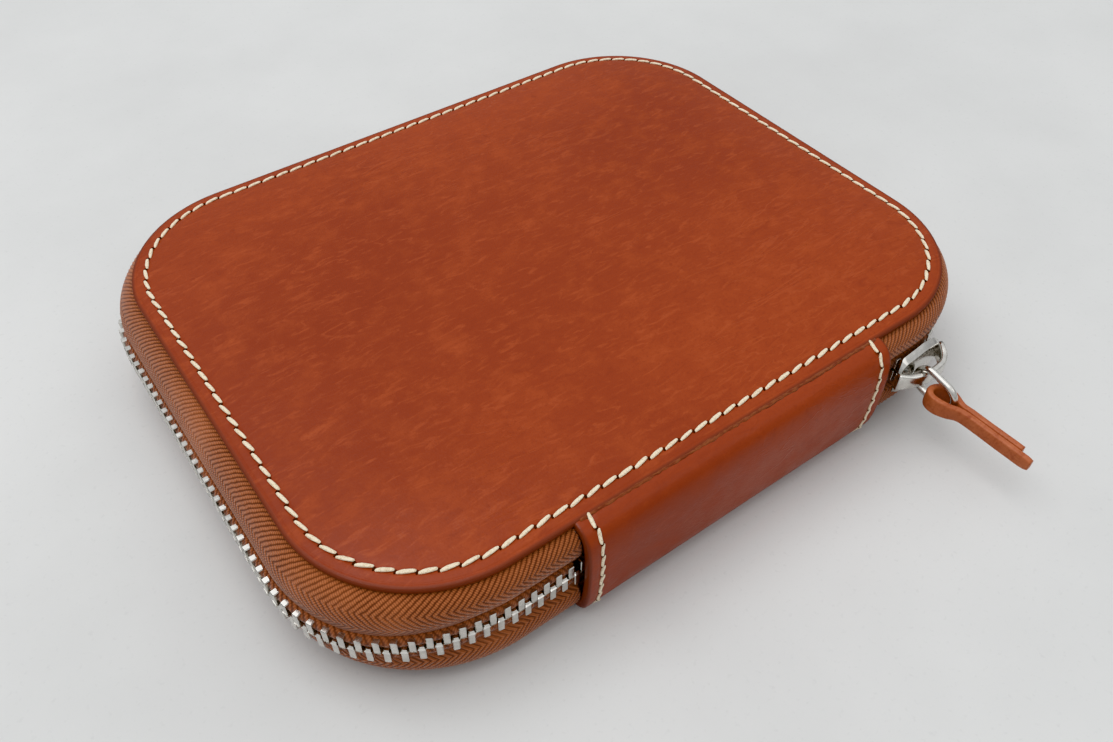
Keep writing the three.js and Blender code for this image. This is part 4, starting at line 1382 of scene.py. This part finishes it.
class MakePull(bpy.types.Operator):
    """Make the ring and the folded leather tab"""

    bl_idname = "wallet.make_pull"
    bl_label = "Ring and tab"

    def execute(self, context):
        sizes = context.scene.wallet_pull
        self.make_ring(sizes)
        self.make_tab(sizes)
        return {"FINISHED"}

    def make_ring(self, sizes):
        """A long link of round wire that stands on edge between the bail and the tab."""
        start = pull_frame("ring_swing")
        end = pull_frame("tab_swing")
        reach = end.translation - start.translation
        middle = (start.translation + end.translation) / 2
        along = reach.normalized()
        across = Vector((-1, 0, 0)).cross(along).normalized()
        half_long = reach.length / 2
        half_tall = (4.2 * MM + sizes.wire) / 2
        path = []
        count = 56
        link = Outline(half_long, half_tall, half_tall * 0.96)
        radius = sizes.wire / 2
        for step in range(count):
            spot, normal = link.at(link.total() * step / count)
            centre = middle + along * spot.x + across * spot.y
            side = along * normal.x + across * normal.y
            path.append((centre, side, Vector((1, 0, 0))))
        turns = [FULL_TURN * k / 12 for k in range(12)]
        section = [(radius * math.cos(turn), radius * math.sin(turn)) for turn in turns]
        bm = swept(path, section, closed_path=True)
        bmesh.ops.remove_doubles(bm, verts=bm.verts[:], dist=1e-7)
        make_piece("ring_link", outward(bm), "pull_ring", ["pull_ring"], "nickel plate")

    def make_tab(self, sizes):
        """A strip of leather folded round the ring, its two layers lying side by side."""
        hinge = pull_frame("tab_swing").translation
        leather = sizes.leather
        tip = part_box("pull_tab")[0].y
        half = leather * 0.5
        loop = (
            (0.75, -1.6),
            (1.35, 0.9),
            (1.1, 3.0),
            (-0.1, 4.3),
            (-1.7, 4.5),
            (-2.75, 3.4),
            (-2.75, 1.5),
            (-1.9, -0.6),
            (-0.85, -2.2),
        )
        lean = 0.085
        slope = 0.07
        count = 110
        short_end = (tip + 3.0 * MM, tip + 8 * MM, hinge.y - 4 * MM)
        long_end = (hinge.y - 4.5 * MM, tip + 8 * MM, tip + 0.2 * MM)
        line = [Vector((half + lean * (hinge.y - y), y, 0)) for y in short_end]
        line += [Vector((x * MM, hinge.y + y * MM, 0)) for x, y in loop]
        line += [Vector((lean * (hinge.y - y) - half, y, 0)) for y in long_end]
        for spot in line:
            spot.x += hinge.x
        spots, _ = evenly(line, count)
        path = []
        for i, spot in enumerate(spots):
            tangent = (spots[min(i + 1, count)] - spots[max(i - 1, 0)]).normalized()
            side = Vector((tangent.y, -tangent.x, 0))
            fall = (hinge.y - spot.y) * slope
            wobble = 0.14 * MM * noise.noise(Vector((spot.x * 160, spot.y * 160, 3.0)))
            place = Vector((spot.x, spot.y, hinge.z - fall - 0.1 * MM + wobble))
            path.append((place, side, UP))
        width = 3.0 * MM
        rounded = 1.9 * MM
        bm = swept(path, rounded_section(leather * 0.97, width, 0.38 * MM))
        for vert in bm.verts:
            nose = min(max((tip + rounded - vert.co.y) / rounded, 0.0), 1.0)
            level = hinge.z - slope * (hinge.y - vert.co.y)
            vert.co.z = level + (vert.co.z - level) * (1 - 0.55 * (1 - math.sqrt(1 - nose * nose)))
            wide = 1 + 0.30 * ease((vert.co.y - hinge.y + 3 * MM) / (5 * MM))
            vert.co.z = level + (vert.co.z - level) * wide
            grain = noise.noise(Vector((vert.co.x * 700, vert.co.y * 260, vert.co.z * 700)))
            vert.co.x += 0.05 * MM * grain
        tab = make_piece("pull_thong", bm, "pull_tab", ["pull_tab"], "tab leather")
        note(tab, "from_edge", lambda spot: 1.0)


# ---------------------------------------------------------------- inside


def slab(name, node, body, finish, radius, facing):
    """A flat inner piece the size of its packed node, with rounded corners and eased edges."""
    low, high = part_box(node)
    half = (high - low) / 2
    outline = Outline(half.x, half.y, radius, ((low.x + high.x) / 2, (low.y + high.y) / 2))
    thick = high.z - low.z
    ease_in = min(0.22 * MM, thick / 3)
    rings = [
        (ease_in, -thick),
        (0.0, -thick + ease_in),
        (0.0, -ease_in),
        (ease_in * 0.4, -ease_in * 0.3),
        (ease_in, 0.0),
        (1.1 * MM, 0.0),
        (1.3 * MM, -0.10 * MM),
        (1.5 * MM, 0.0),
    ]

    def height(point, inset):
        ripple = noise.noise(Vector((point.x * 30, point.y * 34, low.z * 900)))
        return 0.05 * MM * ripple * ease(inset / (12 * MM))

    bm = panel_mesh(outline, rings, height, 72, 60)
    lift(bm, high.z)
    if facing < 0:
        flipped(bm, (low.z + high.z) / 2)
    piece = make_piece(name, bm, body, [node], finish)
    note(piece, "from_edge", outline.inset_of)
    return piece


def lining_slab(name, node, body, radius, facing):
    slab(name, node, body, "lining leather", radius, facing)


def pocket_seam(node, facing):
    """Stitches down both sides of a pocket and along its sewn edge."""
    low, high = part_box(node)
    inset = 1.9 * MM
    pitch = bpy.context.scene.wallet_stitches.pitch
    level = high.z if facing > 0 else low.z
    corners = [
        Vector((low.x + inset, high.y - inset, level)),
        Vector((low.x + inset, low.y + inset, level)),
        Vector((high.x - inset, low.y + inset, level)),
        Vector((high.x - inset, high.y - inset, level)),
    ]
    stations = []
    for a, b in zip(corners, corners[1:]):
        count = round((b - a).length / pitch)
        for step in range(count):
            stations.append((a.lerp(b, (step + 0.5) / count), b - a, Vector((0, 0, facing))))
    return stations, pitch


class MakeInside(bpy.types.Operator):
    """Make the boards, linings and pockets inside"""

    bl_idname = "wallet.make_inside"
    bl_label = "Linings and pockets"

    def execute(self, context):
        corner = context.scene.wallet_panels.corner
        for name, node, body, facing in (
            ("top_board", "top_padding", "lid", 1.0),
            ("bottom_board", "bottom_padding", "base", -1.0),
        ):
            piece = slab(name, node, body, "fibre board", corner - 8.5 * MM, facing)
        for name, node, body, facing in (
            ("top_inside", "top_lining", "lid", -1.0),
            ("bottom_inside", "bottom_lining", "base", 1.0),
        ):
            lining_slab(name, node, body, corner - 0.8 * MM, facing)
        pockets = (
            ("back_pocket", "card_pocket_back", "base", 1.0),
            ("middle_pocket", "card_pocket_middle", "base", 1.0),
            ("front_pocket", "card_pocket_front", "base", 1.0),
            ("lid_pocket", "slip_pocket", "lid", -1.0),
        )
        for name, node, body, facing in pockets:
            lining_slab(name, node, body, 3.0 * MM, facing)
            stations, pitch = pocket_seam(node, facing)
            make_seam(f"{name}_seam", stations, pitch, body, (), 0.6 * MM)
        return {"FINISHED"}


# ---------------------------------------------------------------- stage

FLOOR_HALF = 1.6
CAMERA_PLACE = (-0.0899, -0.1298, 0.1568)
CAMERA_TILT = 43.16
CAMERA_HEADING = -35.98
CAMERA_LENS = 31.5
CAMERA_WIDTH = 36.0
# Each lamp's name, place, diameter, power and colour
LAMPS = (
    ("sky_softbox", (-0.22, 0.16, 0.88), 0.85, 3.6, (0.98, 0.99, 1.0)),
    ("front_softbox", (0.42, -0.68, 0.80), 0.45, 0.4, (1.0, 0.985, 0.96)),
)


class MakeStage(bpy.types.Operator):
    """Make the floor, the soft light and the camera"""

    bl_idname = "wallet.make_stage"
    bl_label = "Floor, light and camera"

    def execute(self, context):
        bm = bmesh.new()
        bmesh.ops.create_grid(bm, x_segments=1, y_segments=1, size=FLOOR_HALF)
        lift(bm, CAD_BOX[0][2])
        floor = bpy.data.objects.new("floor", as_mesh(bm, "floor"))
        context.scene.collection.objects.link(floor)
        floor.data.materials.append(material("pale floor"))
        self.make_sky(context)
        for lamp in LAMPS:
            self.make_lamp(context, *lamp)
        camera = bpy.data.objects.new("camera", bpy.data.cameras.new("camera"))
        camera.location = CAMERA_PLACE
        camera.rotation_euler = (math.radians(CAMERA_TILT), 0.0, math.radians(CAMERA_HEADING))
        camera.data.lens = CAMERA_LENS
        camera.data.sensor_width = CAMERA_WIDTH
        camera.data.clip_start = 0.005
        context.scene.collection.objects.link(camera)
        context.scene.camera = camera
        return {"FINISHED"}

    def make_sky(self, context):
        world = bpy.data.worlds.new("soft sky")
        world.use_nodes = True
        sky = world.node_tree.nodes["Background"]
        sky.inputs["Color"].default_value = (0.97, 0.985, 1.0, 1.0)
        nodes, links = world.node_tree.nodes, world.node_tree.links
        height = nodes.new("ShaderNodeSeparateXYZ")
        links.new(nodes.new("ShaderNodeTexCoord").outputs["Generated"], height.inputs[0])
        glow = nodes.new("ShaderNodeMapRange")
        for key, number in (("From Min", -0.1), ("From Max", 1.0), ("To Min", 0.30), ("To Max", 1.05)):
            glow.inputs[key].default_value = number
        links.new(height.outputs["Z"], glow.inputs["Value"])
        links.new(glow.outputs["Result"], sky.inputs["Strength"])
        context.scene.world = world
        context.scene.view_settings.view_transform = "Khronos PBR Neutral"

    def make_lamp(self, context, name, place, size, power, tint):
        lamp = bpy.data.lights.new(name, "AREA")
        lamp.shape = "DISK"
        lamp.size = size
        lamp.energy = power
        lamp.color = tint
        holder = bpy.data.objects.new(name, lamp)
        holder.location = place
        holder.rotation_euler = (-Vector(place)).to_track_quat("-Z", "Y").to_euler()
        context.scene.collection.objects.link(holder)


# ---------------------------------------------------------------- panel and registration

STEPS = (
    MakeStage,
    MakeCovers,
    MakeStitching,
    MakeSpine,
    MakeTapes,
    MakeTeeth,
    MakeSlider,
    MakePull,
    MakeInside,
)


class WALLET_PT_pieces(bpy.types.Panel):
    """Lists the steps that make the wallet."""

    bl_label = "Wallet"
    bl_idname = "WALLET_PT_pieces"
    bl_space_type = "VIEW_3D"
    bl_region_type = "UI"
    bl_category = "Wallet"

    def draw(self, context):
        for step in STEPS:
            self.layout.operator(step.bl_idname)
        for name, group in GROUPS.items():
            column = self.layout.column(align=True)
            column.label(text=group.__doc__)
            for key in group.__annotations__:
                column.prop(getattr(context.scene, name), key)


def register():
    for group in GROUPS.values():
        bpy.utils.register_class(group)
    for name, group in GROUPS.items():
        setattr(bpy.types.Scene, name, bpy.props.PointerProperty(type=group))
    for step in STEPS:
        bpy.utils.register_class(step)
    bpy.utils.register_class(WALLET_PT_pieces)


def unregister():
    bpy.utils.unregister_class(WALLET_PT_pieces)
    for step in reversed(STEPS):
        bpy.utils.unregister_class(step)
    for name, group in reversed(GROUPS.items()):
        delattr(bpy.types.Scene, name)
        bpy.utils.unregister_class(group)


def main():
    register()
    bpy.ops.wallet.make_stage()
    bpy.ops.wallet.make_covers()
    bpy.ops.wallet.make_stitching()
    bpy.ops.wallet.make_spine()
    bpy.ops.wallet.make_tapes()
    bpy.ops.wallet.make_teeth()
    bpy.ops.wallet.make_slider()
    bpy.ops.wallet.make_pull()
    bpy.ops.wallet.make_inside()
    bpy.context.view_layer.update()


if __name__ == "__main__":
    main()
